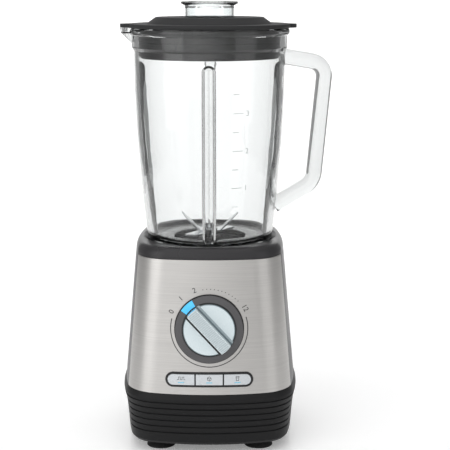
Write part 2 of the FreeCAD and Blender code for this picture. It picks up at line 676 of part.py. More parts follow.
def dial_shaft():
    """Encoder's shaft, with a flat that drives the knob."""
    shaft = cylinder(DIAL_SHAFT, -BOARD_DEPTH - 6, 10.8)
    return on_panel(shaft.cut(box(DIAL_SHAFT - 1.0, 10, -10, 10, 3.2, 12)))


def speed_encoder():
    """Rotary encoder on the board, with a bush for its shaft."""
    body = box(-8, 8, -7, 7, -BOARD_DEPTH - 8, -BOARD_DEPTH - 0.1)
    bush = cylinder(ENCODER_BUSH, -BOARD_DEPTH - 0.1, -BOARD_DEPTH + 6)
    return on_panel(body.fuse(bush).cut(cylinder(DIAL_SHAFT + SHAFT_FIT, -BOARD_DEPTH - 7, 0)))


def button_span(index):
    """Left and right edge of a button's window, of three equal windows in the row."""
    width = (2 * BUTTON_ROW_HALF - 2 * BUTTON_BAR) / 3
    left = -BUTTON_ROW_HALF + index * (width + BUTTON_BAR)
    return left, left + width


def button_frame():
    """Black surround of the three buttons, following the panel's curve."""
    outer = slot_prism(-BUTTON_ROW_HALF - BUTTON_FRAME, BUTTON_ROW_HALF + BUTTON_FRAME,
                       BUTTON_HALF + BUTTON_FRAME, -9, 6, True, True)
    outer = on_panel(outer).common(proud_of_panel(BUTTON_FRAME_PROUD))
    back = on_panel(slot_prism(-BUTTON_ROW_HALF - 4, BUTTON_ROW_HALF + 4, BUTTON_HALF + 4, -11, -8.5,
                               True, True))
    windows = []
    for i in range(3):
        left, right = button_span(i)
        windows.append(on_panel(slot_prism(left, right, BUTTON_HALF, -14, 8, i == 0, i == 2)))
    return fused(outer, back).cut(Part.makeCompound(windows))


def button(index):
    """One push button with its stem, and the slot that its light bar sits in."""
    left, right = button_span(index)
    cap = slot_prism(left + BUTTON_WAY, right - BUTTON_WAY, BUTTON_HALF - BUTTON_WAY, -7.5, 6,
                     index == 0, index == 2)
    cap = on_panel(cap).common(proud_of_panel(BUTTON_PROUD))
    middle = (left + right) / 2
    stem = on_panel(cylinder(BUTTON_STEM, -BUTTON_STEM_END, -7.0, middle, -BUTTON_DROP))
    slot = on_panel(light_bar_block(index, 0.05, -6))
    return cap.fuse(stem).cut(slot)


def light_bar_block(index, way, low):
    left, right = button_span(index)
    middle = (left + right) / 2
    y = -BUTTON_DROP - BUTTON_HALF * LIGHT_DROP
    half_x = LIGHT_HALF_LENGTH + way
    half_y = LIGHT_HALF_WIDTH + way
    return box(middle - half_x, middle + half_x, y - half_y, y + half_y, low, 8)


def button_light(index):
    """Clear blue light bar under a button's symbol."""
    return on_panel(light_bar_block(index, 0, -5.5)).common(proud_of_panel(BUTTON_PROUD + 0.05))


def control_board():
    """Circuit board behind the panel."""
    board = box(-BOARD_HALF, BOARD_HALF, -BUTTON_DROP - 8, 28, -BOARD_DEPTH, BOARD - BOARD_DEPTH)
    holes = [cylinder(BOARD_POST_RADIUS / 2, -BOARD_DEPTH - 1, 0, x, y) for x, y in BOARD_POSTS]
    board = board.cut(cylinder(ENCODER_BUSH + 0.1, -BOARD_DEPTH - 1, 0)).cut(Part.makeCompound(holes))
    return on_panel(board)


def tact_switches():
    """The three switches that the buttons press."""
    switches = []
    for i in range(3):
        left, right = button_span(i)
        middle = (left + right) / 2
        low = BOARD - BOARD_DEPTH
        body = box(middle - 3, middle + 3, -BUTTON_DROP - 3, -BUTTON_DROP + 3, low, low + 3.0)
        switches.append(on_panel(body.fuse(cylinder(1.7, low + 2.9, low + 3.4, middle, -BUTTON_DROP))))
    return switches


# ---------------------------------------------------------------- motor
def drive_star(core, reach, width, low, high):
    arm = box(0, reach, -width / 2, width / 2, low, high)
    arm = arm.common(cylinder(reach, low, high))
    return fused(cylinder(core, low, high), *around(arm, DRIVE_LOBES))


def drive_coupling():
    """Star on the motor's shaft that turns the blades."""
    star = drive_star(DRIVE_CORE, DRIVE_REACH, DRIVE_LOBE_WIDTH, WELL_BOTTOM + 6, STAR_TOP)
    disc = cylinder(SOCKET_RADIUS + 0.5, WELL_BOTTOM + WALL + 0.8, WELL_BOTTOM + 6.2)
    return fused(star, disc).cut(cylinder(SHAFT_RADIUS, WELL_BOTTOM, STAR_TOP - 3.5))


def motor_shaft():
    """Ground steel shaft from the fan up into the star."""
    return cylinder(SHAFT_RADIUS, FAN_LOW - 4, STAR_TOP - 4)


def armature_core():
    """Slotted lamination stack on the shaft."""
    core = ring(SHAFT_RADIUS, ROTOR_RADIUS, STACK_BOTTOM, STACK_TOP)
    slot = box(ROTOR_RADIUS - SLOT_DEPTH, ROTOR_RADIUS + 1, -SLOT_WIDTH / 2, SLOT_WIDTH / 2,
               STACK_BOTTOM - 1, STACK_TOP + 1)
    return core.cut(Part.makeCompound(around(slot, ROTOR_SLOTS)))


def armature_windings():
    """The wound copper heads above and below the stack."""
    heads = []
    out = ROTOR_RADIUS - 3.1
    for near, far in ((STACK_TOP, STACK_TOP + COIL_HEAD), (STACK_BOTTOM, STACK_BOTTOM - COIL_HEAD)):
        head = revolved((SHAFT_RADIUS, near), (out, near),
                        ((out - 0.5, (near * 1.2 + far) / 2.2), (out - 6, far)), (SHAFT_RADIUS, far))
        heads.append(head if head.Volume > 0 else head.reversed())
    return heads


def commutator():
    """Copper bars on a moulded ring."""
    body = ring(SHAFT_RADIUS, COMMUTATOR_RADIUS, COMMUTATOR_LOW, COMMUTATOR_TOP)
    cut = box(COMMUTATOR_RADIUS - 1.2, COMMUTATOR_RADIUS + 1, -0.25, 0.25,
              COMMUTATOR_LOW - 1, COMMUTATOR_TOP - 1)
    return body.cut(Part.makeCompound(around(cut, COMMUTATOR_BARS)))


def cooling_fan():
    """Radial fan under the motor."""
    high = FAN_LOW + FAN_HEIGHT
    hub_radius = 2 * SHAFT_RADIUS
    disc = cylinder(FAN_RADIUS, FAN_LOW, FAN_LOW + 2)
    hub = cylinder(hub_radius, FAN_LOW - 2, high)
    blade = box(hub_radius - 1, FAN_RADIUS - 0.5, -0.8, 0.8, FAN_LOW + 1.5, high)
    blade = turned(blade, 18, hub_radius - 1, 0)
    blade = blade.common(cylinder(FAN_RADIUS, FAN_LOW, high + 1))
    bore = cylinder(SHAFT_RADIUS, FAN_LOW - 3, high + 1)
    return fused(disc, hub, *around(blade, FAN_BLADES)).cut(bore)


def field_stack():
    """Laminated field with two poles and the slots that its coils run in."""
    half_x, half_y = STACK_HALF_X, STACK_HALF_Y
    stack = box(-half_x, half_x, -half_y, half_y, STACK_BOTTOM, STACK_TOP)
    stack = stack.common(cylinder(half_x + 4, STACK_BOTTOM, STACK_TOP))
    bore = ROTOR_RADIUS + AIR_GAP
    stack = stack.cut(cylinder(bore, STACK_BOTTOM - 1, STACK_TOP + 1))
    cuts = [
        sector(bore - 1, bore + COIL_DEPTH + 1.4, STACK_BOTTOM - 1, STACK_TOP + 1, a, a + 31)
        for a in (7, 142, 187, 322)
    ]
    cuts += [cylinder(BOLT_RADIUS + 0.2, STACK_BOTTOM - 1, STACK_TOP + 1, x, 0) for x in BOLT_PLACES]
    return stack.cut(Part.makeCompound(cuts))


def field_coils():
    """Two saddle coils, one round each pole."""
    inner = ROTOR_RADIUS + AIR_GAP + 1.0
    coils = []
    for turn in (0, 180):
        coil = sector(inner, inner + COIL_DEPTH, STACK_BOTTOM - COIL_END, STACK_TOP + COIL_END, 9, 171)
        gap = sector(inner - 1, inner + COIL_DEPTH + 1, STACK_BOTTOM - 0.4, STACK_TOP + 0.4, 36, 144)
        coils.append(turned(coil.cut(gap), turn))
    return coils


def bearing(low, high):
    """A bearing as one ring round the shaft."""
    return ring(SHAFT_RADIUS + SHAFT_FIT, BEARING_RADIUS, low, high)


def upper_bracket():
    """Cast bar over the motor with the top bearing's cup, legs to the stack and ears for the mounts."""
    high = BRACKET_LOW + BRACKET_SHEET
    end = MOUNT_X + MOUNT_RADIUS + 2
    bar = box(-end, end, -12, 12, BRACKET_LOW, high)
    bar = bar.common(cylinder(end, BRACKET_LOW - 1, high + 1))
    cup = cylinder(BEARING_RADIUS + 2.5, BRACKET_LOW - 3, high)
    legs = [cylinder(5, STACK_TOP, BRACKET_LOW + 1, x, 0) for x in BOLT_PLACES]
    cuts = [cylinder(BEARING_RADIUS, BRACKET_LOW - 2, high + 1)]
    cuts += [cylinder(SHAFT_RADIUS + 1, BRACKET_LOW - 5, high + 1)]
    cuts += [cylinder(BOLT_RADIUS + 0.2, STACK_TOP - 1, high + 1, x, 0) for x in BOLT_PLACES]
    cuts += [cylinder(MOUNT_SCREW + 0.5, BRACKET_LOW - 1, high + 1, x, 0) for x in MOUNT_PLACES]
    return fused(bar, cup, *legs).cut(Part.makeCompound(cuts))


def lower_bracket():
    """Cast spider under the motor with the lower bearing's cup and the brush boxes' shelf."""
    low = LOWER_BRACKET
    bar = box(-BOLT_X - 6, BOLT_X + 6, -10, 10, low, low + 3)
    arm = box(-8, 8, -38, 38, low, low + 3)
    cup = cylinder(BEARING_RADIUS + 2.5, low - 5, low + 3)
    legs = [cylinder(5, low, STACK_BOTTOM, x, 0) for x in BOLT_PLACES]
    cuts = [cylinder(BEARING_RADIUS, low - 4, low + 4), cylinder(SHAFT_RADIUS + 1, low - 9, low + 4)]
    cuts += [cylinder(BOLT_RADIUS + 0.2, low - 1, STACK_BOTTOM + 1, x, 0) for x in BOLT_PLACES]
    return fused(bar, arm, cup, *legs).cut(Part.makeCompound(cuts))


def motor_bolts():
    """Two long bolts that clamp the brackets on the stack."""
    bolts = []
    for x in BOLT_PLACES:
        stem = cylinder(BOLT_RADIUS, LOWER_BRACKET - 1, BRACKET_LOW + BRACKET_SHEET + 2, x, 0)
        head = cylinder(4.0, LOWER_BRACKET - 3.4, LOWER_BRACKET, x, 0)
        bolts.append(stem.fuse(head).removeSplitter())
    return bolts


def motor_mounts():
    """Rubber bushes between the upper bracket and the cover's posts."""
    return [ring(MOUNT_SCREW + 0.5, MOUNT_RADIUS, BRACKET_LOW + BRACKET_SHEET, MOUNT_TOP, x, 0)
            for x in MOUNT_PLACES]


def mount_screws():
    """Two screws up through the mounts into the cover's posts."""
    screws = []
    for x in MOUNT_PLACES:
        stem = cylinder(MOUNT_SCREW, BRACKET_LOW - 0.1, MOUNT_TOP + 11, x, 0)
        head = cylinder(4.2, BRACKET_LOW - 2.6, BRACKET_LOW, x, 0)
        screws.append(stem.fuse(head).removeSplitter())
    return screws


def brush_boxes():
    """Brass boxes that guide the brushes."""
    boxes = []
    for turn in (90, 270):
        wide = BRUSH_HALF_WIDTH + BRUSH_WAY
        tall = BRUSH_HALF + BRUSH_WAY
        near = COMMUTATOR_RADIUS + 2
        shape = box(near, near + 23, -wide - 1.7, wide + 1.7, LOWER_BRACKET + 3, BRUSH_Z + tall + 1.7)
        shape = shape.cut(box(near - 1, near + 21, -wide, wide, BRUSH_Z - tall, BRUSH_Z + tall))
        boxes.append(turned(shape, turn))
    return boxes


def carbon_brushes():
    """Two carbon blocks, hollowed at the end that rubs on the commutator."""
    brushes = []
    for turn in (90, 270):
        brush = box(COMMUTATOR_RADIUS, COMMUTATOR_RADIUS + 16, -BRUSH_HALF_WIDTH, BRUSH_HALF_WIDTH,
                    BRUSH_Z - BRUSH_HALF, BRUSH_Z + BRUSH_HALF)
        brush = brush.cut(cylinder(COMMUTATOR_RADIUS + RUN_GAP, COMMUTATOR_LOW, STACK_BOTTOM))
        brushes.append(turned(brush, turn))
    return brushes


def fan_shroud():
    """Air duct round the fan, standing on the bottom plate."""
    out = FAN_RADIUS + 4.5
    return fused(ring(out - 2, out, PLATE_TOP + 0.1, FAN_LOW + FAN_HEIGHT + 1),
                 ring(FAN_RADIUS - 6, out, FAN_LOW - 6, FAN_LOW - 4))


def terminal_block():
    """Where the supply cord's wires join the base's own wiring."""
    body = box(-14, 14, TERMINAL_Y - 5, TERMINAL_Y + 5, PLATE_TOP + 0.1, PLATE_TOP + 12)
    wells = [cylinder(2.4, PLATE_TOP + 5, PLATE_TOP + 13, x, TERMINAL_Y) for x in (-9, 0, 9)]
    return body.cut(Part.makeCompound(wells))


# ---------------------------------------------------------------- glass jar
def jar_outer_steps():
    """The jar's outer profile, from the foot to the rim."""
    heel_mid = JAR_HEEL * math.sqrt(0.5)
    heel_x = JAR_HEEL_RADIUS - JAR_HEEL
    return [
        (heel_x, JAR_FOOT),
        ((heel_x + heel_mid, JAR_FOOT + JAR_HEEL - heel_mid), (JAR_HEEL_RADIUS, JAR_FOOT + JAR_HEEL)),
        [(JAR_BELLY_RADIUS, JAR_BELLY_Z), (JAR_SHOULDER_RADIUS, JAR_SHOULDER_Z)],
        (JAR_SHOULDER_RADIUS, JAR_TOP - 20),
        (JAR_COLLAR_RADIUS, JAR_TOP - 17),
        (JAR_COLLAR_RADIUS, JAR_TOP - 6.5),
        ((JAR_RIM_RADIUS, JAR_TOP - 3.2), (JAR_RIM_RADIUS - 1.6, JAR_TOP)),
    ]


def jar_cavity():
    """The space inside the jar and its neck, open at both ends."""
    inner_top = JAR_SHOULDER_RADIUS - GLASS_WALL
    heel = JAR_HEEL_RADIUS - GLASS_WALL
    return revolved(
        (0, NECK_BOTTOM - 1), (NECK_BORE, NECK_BOTTOM - 1), (NECK_BORE, JAR_FOOT + 6.5),
        (JAR_HEEL_RADIUS - 12, JAR_FOOT + 7.2), ((heel - 2.2, JAR_FOOT + 9), (heel, JAR_FOOT + 14)),
        [(JAR_BELLY_RADIUS - GLASS_WALL, JAR_BELLY_Z), (inner_top, JAR_SHOULDER_Z)],
        (inner_top + 0.1, JAR_TOP - 3), ((inner_top + 0.4, JAR_TOP - 0.9), (inner_top + 1.4, JAR_TOP)),
        (inner_top + 1.4, JAR_TOP + 5), (0, JAR_TOP + 5))


def jar():
    """Pressed glass jar with four flutes, a spout, a handle and a neck for the blade unit."""
    outside = revolved((0, NECK_BOTTOM), (NECK_RADIUS, NECK_BOTTOM), (NECK_RADIUS, JAR_FOOT),
                       *jar_outer_steps(), (0, JAR_TOP))
    foot = at(JAR_HEEL_RADIUS - GLASS_WALL + 1.2, 0, JAR_FOOT + 2)
    head = at(JAR_SHOULDER_RADIUS - GLASS_WALL + 0.6, 0, FLUTE_TOP)
    flute = Part.makeCylinder(FLUTE_RADIUS, (head - foot).Length, foot, head - foot)
    flute = flute.fuse(Part.makeSphere(FLUTE_RADIUS, head))
    cavity = jar_cavity().cut(Part.makeCompound(around(flute, 4))).fuse(spout_cone(GLASS_WALL - 0.4, 3.0))
    return fused(outside, spout_cone(0.0, 0.0), jar_handle()).cut(cavity)


def spout_cone(wall, over):
    """The beak of the spout: round sections that grow towards the rim on the -X side."""
    wires = []
    for z, reach, half in ((JAR_TOP - 16.5 + wall, JAR_SHOULDER_RADIUS - 1.0, SPOUT_HALF - 5),
                           (JAR_TOP - 4.5 + wall * 0.4, SPOUT_REACH - 0.8, SPOUT_HALF),
                           (JAR_TOP + over, SPOUT_REACH, SPOUT_HALF)):
        radius = half - wall
        centre = at(-(reach - wall) + radius, 0, z)
        wires.append(Part.Wire(Part.makeCircle(radius, centre, UP)))
    return Part.makeLoft(wires, True, True)


def bend_path(points, radii):
    """A wire of straight runs joined by tangent arcs, in the XZ plane."""
    corners = [at(x, 0, z) for x, z in points]
    edges, here = [], corners[0]
    for before, corner, after, radius in zip(corners, corners[1:], corners[2:], radii):
        u = (before - corner).normalize()
        w = (after - corner).normalize()
        half = u.getAngle(w) / 2
        back = radius / math.tan(half)
        start, end = corner + u * back, corner + w * back
        middle = (u + w).normalize()
        arc_mid = corner + middle * (radius / math.sin(half) - radius)
        edges.append(Part.LineSegment(here, start).toShape())
        edges.append(Part.Arc(start, arc_mid, end).toShape())
        here = end
    edges.append(Part.LineSegment(here, corners[-1]).toShape())
    return Part.Wire(edges)


def jar_handle():
    """Solid oval bar bent into a handle, trimmed at the jar's inner face."""
    points = ((JAR_SHOULDER_RADIUS - 3.5, JAR_TOP - HANDLE_TOP_DROP),
              (JAR_SHOULDER_RADIUS + HANDLE_ELBOW_OUT, JAR_TOP - HANDLE_ELBOW_DROP),
              (JAR_BELLY_RADIUS + HANDLE_KNEE_OUT, JAR_FOOT + HANDLE_KNEE_RISE),
              (JAR_HEEL_RADIUS + 1.6, JAR_FOOT + HANDLE_LOW_RISE))
    path = bend_path(points, (HANDLE_ELBOW_BEND, HANDLE_KNEE_BEND))
    start, elbow = [at(x, 0, z) for x, z in points[:2]]
    along = (elbow - start).normalize()
    oval = Part.Ellipse(start + at(0, HANDLE_WIDE / 2, 0), start + along.cross(at(0, 1, 0)) * (
        HANDLE_THICK / 2), start)
    section = Part.Wire(oval.toShape())
    bar = path.makePipeShell([section], True, False)
    return bar.cut(jar_inside())


def jar_inside():
    """The space inside the jar's wall, a little outside its inner face."""
    inner_top = JAR_SHOULDER_RADIUS - GLASS_WALL + 1.0
    return revolved((0, JAR_FOOT), (JAR_HEEL_RADIUS - GLASS_WALL + 1.0, JAR_FOOT + JAR_HEEL),
                    [(JAR_BELLY_RADIUS - GLASS_WALL + 1.0, JAR_BELLY_Z), (inner_top, JAR_SHOULDER_Z)],
                    (inner_top, JAR_TOP + 5), (0, JAR_TOP + 5))


# ---------------------------------------------------------------- lid and cap
def lid():
    """Soft grey plug lid with sealing bands, a lifting tab, a tab over the spout and the cap's neck."""
    under = JAR_TOP + RUN_GAP
    top = under + LID_FLANGE
    plug = JAR_SHOULDER_RADIUS - GLASS_WALL - LID_CLEAR
    foot_z = CAP_FOOT - RUN_GAP - LID_LEDGE
    bore = CAP_RADIUS + LID_CLEAR
    core = plug - LID_BAND_DEEP
    inside = core - LID_WALL
    bands = []
    z = under - 5.9
    for i in range(LID_BANDS):
        bands += [(core, z), (plug, z - 0.7), (plug, z - LID_BAND + 0.5), (core, z - LID_BAND)]
        z -= LID_BAND
    body = revolved(
        (bore, foot_z), (bore + LID_WALL, foot_z), (bore + LID_WALL, top - 1.5),
        (inside, top - 2.6), (inside, foot_z + 1), (plug - 2.0, foot_z),
        *reversed(bands), (core, under), (LID_FLANGE_RADIUS - 1, under),
        ((LID_FLANGE_RADIUS, under + LID_FLANGE / 2), (LID_FLANGE_RADIUS - 1, top)),
        (LID_DOME_FOOT, top), (LID_DOME_RADIUS, top + LID_DOME), (bore, top + LID_DOME))
    ledge = ring(CAP_RADIUS - 2.6, bore + 1, foot_z, CAP_FOOT - RUN_GAP)
    tabs = []
    for side, reach, half in ((1, LID_TAB_REACH, LID_TAB_HALF), (-1, SPOUT_REACH, SPOUT_HALF)):
        round_tip = cylinder(half, under + 0.1, top - 0.1, side * (reach - half), 0)
        tab = box(min(side * 60, side * (reach - half)), max(side * 60, side * (reach - half)), -half, half,
                  under + 0.1, top - 0.1)
        tabs.append(fused(tab, round_tip))
    return fused(body, ledge, *tabs)


def measuring_cap():
    """Clear cup that closes the lid's hole, mouth down, with a rim to lift it by."""
    inner = CAP_RADIUS - CAP_WALL
    return revolved((0, CAP_TOP - CAP_CROWN), (inner - 1.5, CAP_TOP - CAP_CROWN), (inner, CAP_TOP - 6),
                    (inner - 0.7, CAP_FOOT), (CAP_RADIUS - 0.7, CAP_FOOT), (CAP_RADIUS, CAP_TOP - 4),
                    (CAP_RIM_RADIUS - 1, CAP_TOP - 2.6),
                    ((CAP_RIM_RADIUS, CAP_TOP - 1.3), (CAP_RIM_RADIUS - 1, CAP_TOP)),
                    (inner - 1, CAP_TOP), (inner - 2.4, CAP_TOP - 1.6), (0, CAP_TOP - 1.6))


# ---------------------------------------------------------------- blade unit
def jar_collar():
    """Black ring nut that holds the blade unit in the jar's neck, with the lugs that key it in the seat."""
    low = COLLAR_LOW
    thread = NECK_RADIUS + RUN_GAP
    body = revolved((NECK_BORE + 3, low), (COLLAR_RADIUS - 1, low), (COLLAR_RADIUS, low + 1),
                    (COLLAR_RADIUS, JAR_FOOT - 1.7), (COLLAR_RADIUS - 1.2, JAR_FOOT - 0.5),
                    (thread, JAR_FOOT - 0.5), (thread, CARRIER_LOW), (NECK_BORE + 3, CARRIER_LOW))
    lug = box(COLLAR_RADIUS - 2, COLLAR_RADIUS + LUG_REACH, -LUG_WIDTH / 2, LUG_WIDTH / 2, low, LUG_TOP)
    groove = cylinder(0.9, LUG_TOP + 1, JAR_FOOT, COLLAR_RADIUS + 0.3, 0)
    ridges = Part.makeCompound(around(groove, COLLAR_RIDGES))
    return fused(body, *around(lug, LUGS, LUG_FIRST)).cut(ridges)


def blade_carrier():
    """Moulded disc in the neck that carries the blade shaft's bushes."""
    low = CARRIER_LOW
    rim = low + CARRIER_FLANGE
    bore = BUSH_RADIUS
    plug = NECK_BORE - 0.4
    return revolved((bore, low - 1.0), (bore + 4, low - 1.0), (bore + 4, low), (NECK_RADIUS - 0.4, low),
                    (NECK_RADIUS - 0.4, rim), (plug, rim), (plug, JAR_FOOT - 5.5),
                    ((plug - 0.8, JAR_FOOT - 3.7), (plug - 2.6, JAR_FOOT - 3)), (bore + 5.5, JAR_FOOT),
                    ((bore + 3.8, JAR_FOOT + 2), (bore + 3.5, JAR_FOOT + 5)), (bore, CARRIER_TOP))


def jar_gasket():
    """Flat seal between the carrier and the neck."""
    return ring(NECK_BORE + 0.2, NECK_RADIUS - 0.5, CARRIER_LOW + CARRIER_FLANGE, NECK_BOTTOM)


def shaft_bush(low, length):
    """A bush or seal round the blade shaft."""
    return ring(SHAFT_RADIUS + SHAFT_FIT, BUSH_RADIUS, low, low + length)


def blade_shaft():
    """Steel shaft from the drive socket up to the blades."""
    high = BLADE_HUB_Z + 2 * BLADE_SHEET
    return fused(cylinder(SHAFT_RADIUS, STAR_TOP + 1, high),
                 cylinder(SHAFT_RADIUS - SHAFT_STEP, high - 2, high + NUT_HEIGHT + 0.5))


def thrust_washer():
    """Steel washer that the blades stand on."""
    return ring(SHAFT_RADIUS, BUSH_RADIUS + 0.5, BLADE_HUB_Z - WASHER, BLADE_HUB_Z)


def blade_arm(path, tip, reach):
    """One arm of a blade: sheet folded along a path of (radius, rise), cut to a swept point."""
    lower = [at(r, 0, z) for r, z in path]
    upper = [at(r, 0, z + BLADE_SHEET) for r, z in reversed(path)]
    face = Part.Face(Part.makePolygon(lower + upper + lower[:1]))
    face.translate(at(0, -BLADE_WIDTH, 0))
    sheet = face.extrude(at(0, 2 * BLADE_WIDTH, 0))
    half = BLADE_WIDTH / 2
    shape = [at(-1, -half, 0), at(reach * 0.35, -half, 0), at(reach, tip - 1.2, 0), at(reach, tip, 0),
             at(reach * 0.8, half, 0), at(-1, half, 0)]
    stencil = Part.Face(Part.makePolygon(shape + shape[:1]))
    stencil.translate(at(0, 0, -60))
    return sheet.common(stencil.extrude(at(0, 0, 400)))


def blade(low, rises, first):
    """A stamped blade: arms spaced round a hub, each folded up or down by its own rise."""
    arms = []
    for i, (rise, reach) in enumerate(rises):
        path = [(0, low), (BLADE_HUB_RADIUS + 0.5, low), (reach, low + rise)]
        if rise == 0:
            path = [(0, low), (reach, low)]
        arms.append(turned(blade_arm(path, -2.0, reach), first + 360.0 * i / len(rises)))
    hub = cylinder(BLADE_HUB_RADIUS, low, low + BLADE_SHEET)
    return fused(hub, *arms).cut(cylinder(SHAFT_RADIUS, low - 5, low + 10))


def blade_nut():
    """Domed nut on top of the blades."""
    low = BLADE_HUB_Z + 2 * BLADE_SHEET
    high = low + NUT_HEIGHT
    sixth = math.pi / 3
    corners = [at(NUT_RADIUS * math.cos(sixth * i), NUT_RADIUS * math.sin(sixth * i), low)
               for i in range(7)]
    hexagon = Part.Face(Part.makePolygon(corners)).extrude(at(0, 0, NUT_HEIGHT))
    dome = NUT_RADIUS - 1
    crown = revolved((0, low), (dome, low), (dome, high), ((dome - 1.2, high + 2.5), (0, high + 3.9)))
    return hexagon.fuse(crown).cut(cylinder(SHAFT_RADIUS - SHAFT_STEP, low - 1, high + 0.7))


def drive_socket():
    """Six-lobed socket under the jar that drops over the motor's star."""
    low = SEAT_FLOOR - SOCKET_HEIGHT
    body = cylinder(SOCKET_RADIUS, low, SEAT_FLOOR)
    star = drive_star(DRIVE_CORE + DRIVE_GAP, DRIVE_REACH + DRIVE_GAP,
                      DRIVE_LOBE_WIDTH + 2 * DRIVE_GAP, low - 1, STAR_TOP + 0.7)
    return body.cut(star).cut(cylinder(SHAFT_RADIUS, low, SEAT_FLOOR + 1))


# ---------------------------------------------------------------- the nodes
BUTTON_NAMES = ("pulse", "ice", "smooth")
FOOT_NAMES = ("front_left", "front_right", "rear_left", "rear_right")

os.makedirs("parts", exist_ok=True)

save("base_skirt", base_skirt())
save("side_housing", housing())
save("front_panel", front_panel())
save("top_cover", top_cover())
save("bottom_plate", bottom_plate())
for name, (foot_x, foot_y) in zip(FOOT_NAMES, FOOT_PLACES):
    save(f"foot_{name}", foot(foot_x, foot_y))
save("case_screws", *case_screws())
save("cord_gland", cord_gland())

save("dial_seat", dial_seat())
save("dial_skirt", dial_skirt())
save("pointer_lens", *pointer_lens())
save("dial_knob", knob())
save("dial_shaft", dial_shaft())
save("speed_encoder", speed_encoder())
save("button_frame", button_frame())
for number, name in enumerate(BUTTON_NAMES):
    save(f"{name}_button", button(number))
    save(f"{name}_light_bar", button_light(number))
save("control_board", control_board())
save("tact_switches", *tact_switches())

save("drive_coupling", drive_coupling())
save("motor_shaft", motor_shaft())
save("armature_core", armature_core())
save("armature_windings", *armature_windings())
save("commutator", commutator())
save("cooling_fan", cooling_fan())
save("field_stack", field_stack())
save("field_coils", *field_coils())
save("upper_bearing", bearing(BRACKET_LOW - 2, BRACKET_LOW + BRACKET_SHEET))
save("lower_bearing", bearing(LOWER_BRACKET - 4, LOWER_BRACKET + 3))
save("upper_bracket", upper_bracket())
save("lower_bracket", lower_bracket())
save("motor_bolts", *motor_bolts())
save("motor_mounts", *motor_mounts())
save("mount_screws", *mount_screws())
save("brush_boxes", *brush_boxes())
save("carbon_brushes", *carbon_brushes())
save("fan_shroud", fan_shroud())
save("terminal_block", terminal_block())

save("jar", jar())
save("lid", lid())
save("measuring_cap", measuring_cap())
save("jar_collar", jar_collar())
save("jar_gasket", jar_gasket())
save("blade_carrier", blade_carrier())
seal_low = CARRIER_TOP - SEAL_HEIGHT
save("shaft_bushes", shaft_bush(CARRIER_LOW - 0.5, BUSH_LENGTH),
     shaft_bush(seal_low - 0.2 - BUSH_LENGTH, BUSH_LENGTH))
save("shaft_seal", shaft_bush(seal_low, SEAL_HEIGHT))
save("blade_shaft", blade_shaft())
save("thrust_washer", thrust_washer())
save("lower_blade", blade(BLADE_HUB_Z, ((0.0, BLADE_REACH), (0.0, BLADE_REACH)), 45))
save("upper_blade", blade(BLADE_HUB_Z + BLADE_SHEET,
                          ((16.0, BLADE_REACH - 3), (7.0, BLADE_REACH - 1)) * 2, 0))
save("blade_nut", blade_nut())
save("drive_socket", drive_socket())
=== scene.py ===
"""Countertop blender: looks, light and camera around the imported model."""

import bpy
import numpy as np
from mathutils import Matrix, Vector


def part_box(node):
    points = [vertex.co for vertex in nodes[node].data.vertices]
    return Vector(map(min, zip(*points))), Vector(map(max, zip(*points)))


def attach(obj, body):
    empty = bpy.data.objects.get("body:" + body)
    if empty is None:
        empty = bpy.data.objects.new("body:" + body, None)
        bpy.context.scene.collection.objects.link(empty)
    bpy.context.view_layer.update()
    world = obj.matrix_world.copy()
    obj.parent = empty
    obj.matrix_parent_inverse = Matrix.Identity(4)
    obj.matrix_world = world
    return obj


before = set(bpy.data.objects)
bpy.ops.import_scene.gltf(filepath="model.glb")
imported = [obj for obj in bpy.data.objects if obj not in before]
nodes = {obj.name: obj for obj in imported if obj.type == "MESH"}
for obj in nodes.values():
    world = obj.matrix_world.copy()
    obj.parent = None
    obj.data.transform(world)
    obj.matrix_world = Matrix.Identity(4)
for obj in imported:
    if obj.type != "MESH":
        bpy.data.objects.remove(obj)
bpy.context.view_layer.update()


# ---------------------------------------------------------------- studio
# A sheet of white paper that curves up behind the blender, a pale room, two tall soft boxes
# in front and to the sides, and one overhead. The camera stands a little above the lid.
def hex_colour(text):
    """An sRGB hex colour as linear red, green, blue and alpha: each channel through the sRGB curve."""
    channel = np.array([int(text[i:i + 2], 16) for i in (1, 3, 5)]) / 255.0
    linear = np.where(channel <= 0.04045, channel / 12.92, ((channel + 0.055) / 1.055) ** 2.4)
    return (*linear.tolist(), 1.0)


def add(tree, kind, settings=None, links=None):
    """Adds a node. Settings are sockets by name or number, or the node's own properties. Links give,
    for each input, the node and output that feed it."""
    node = tree.nodes.new(kind)
    for key, value in (settings or {}).items():
        if isinstance(key, int) or key in node.inputs:
            node.inputs[key].default_value = value
        else:
            setattr(node, key, value)
    for key, (source, output) in (links or {}).items():
        tree.links.new(source.outputs[output], node.inputs[key])
    return node


def surface_mesh(name, rows):
    """A mesh over a grid of points, rows by columns by xyz, with a face between each four neighbours."""
    count_rows, count_columns = rows.shape[:2]
    number = np.arange(count_rows * count_columns).reshape(count_rows, count_columns)
    quads = np.stack([number[:-1, :-1], number[:-1, 1:], number[1:, 1:], number[1:, :-1]], axis=-1)
    mesh = bpy.data.meshes.new(name)
    mesh.from_pydata(rows.reshape(-1, 3).tolist(), [], quads.reshape(-1, 4).tolist())
    mesh.shade_smooth()
    piece = bpy.data.objects.new(name, mesh)
    bpy.context.scene.collection.objects.link(piece)
    return piece


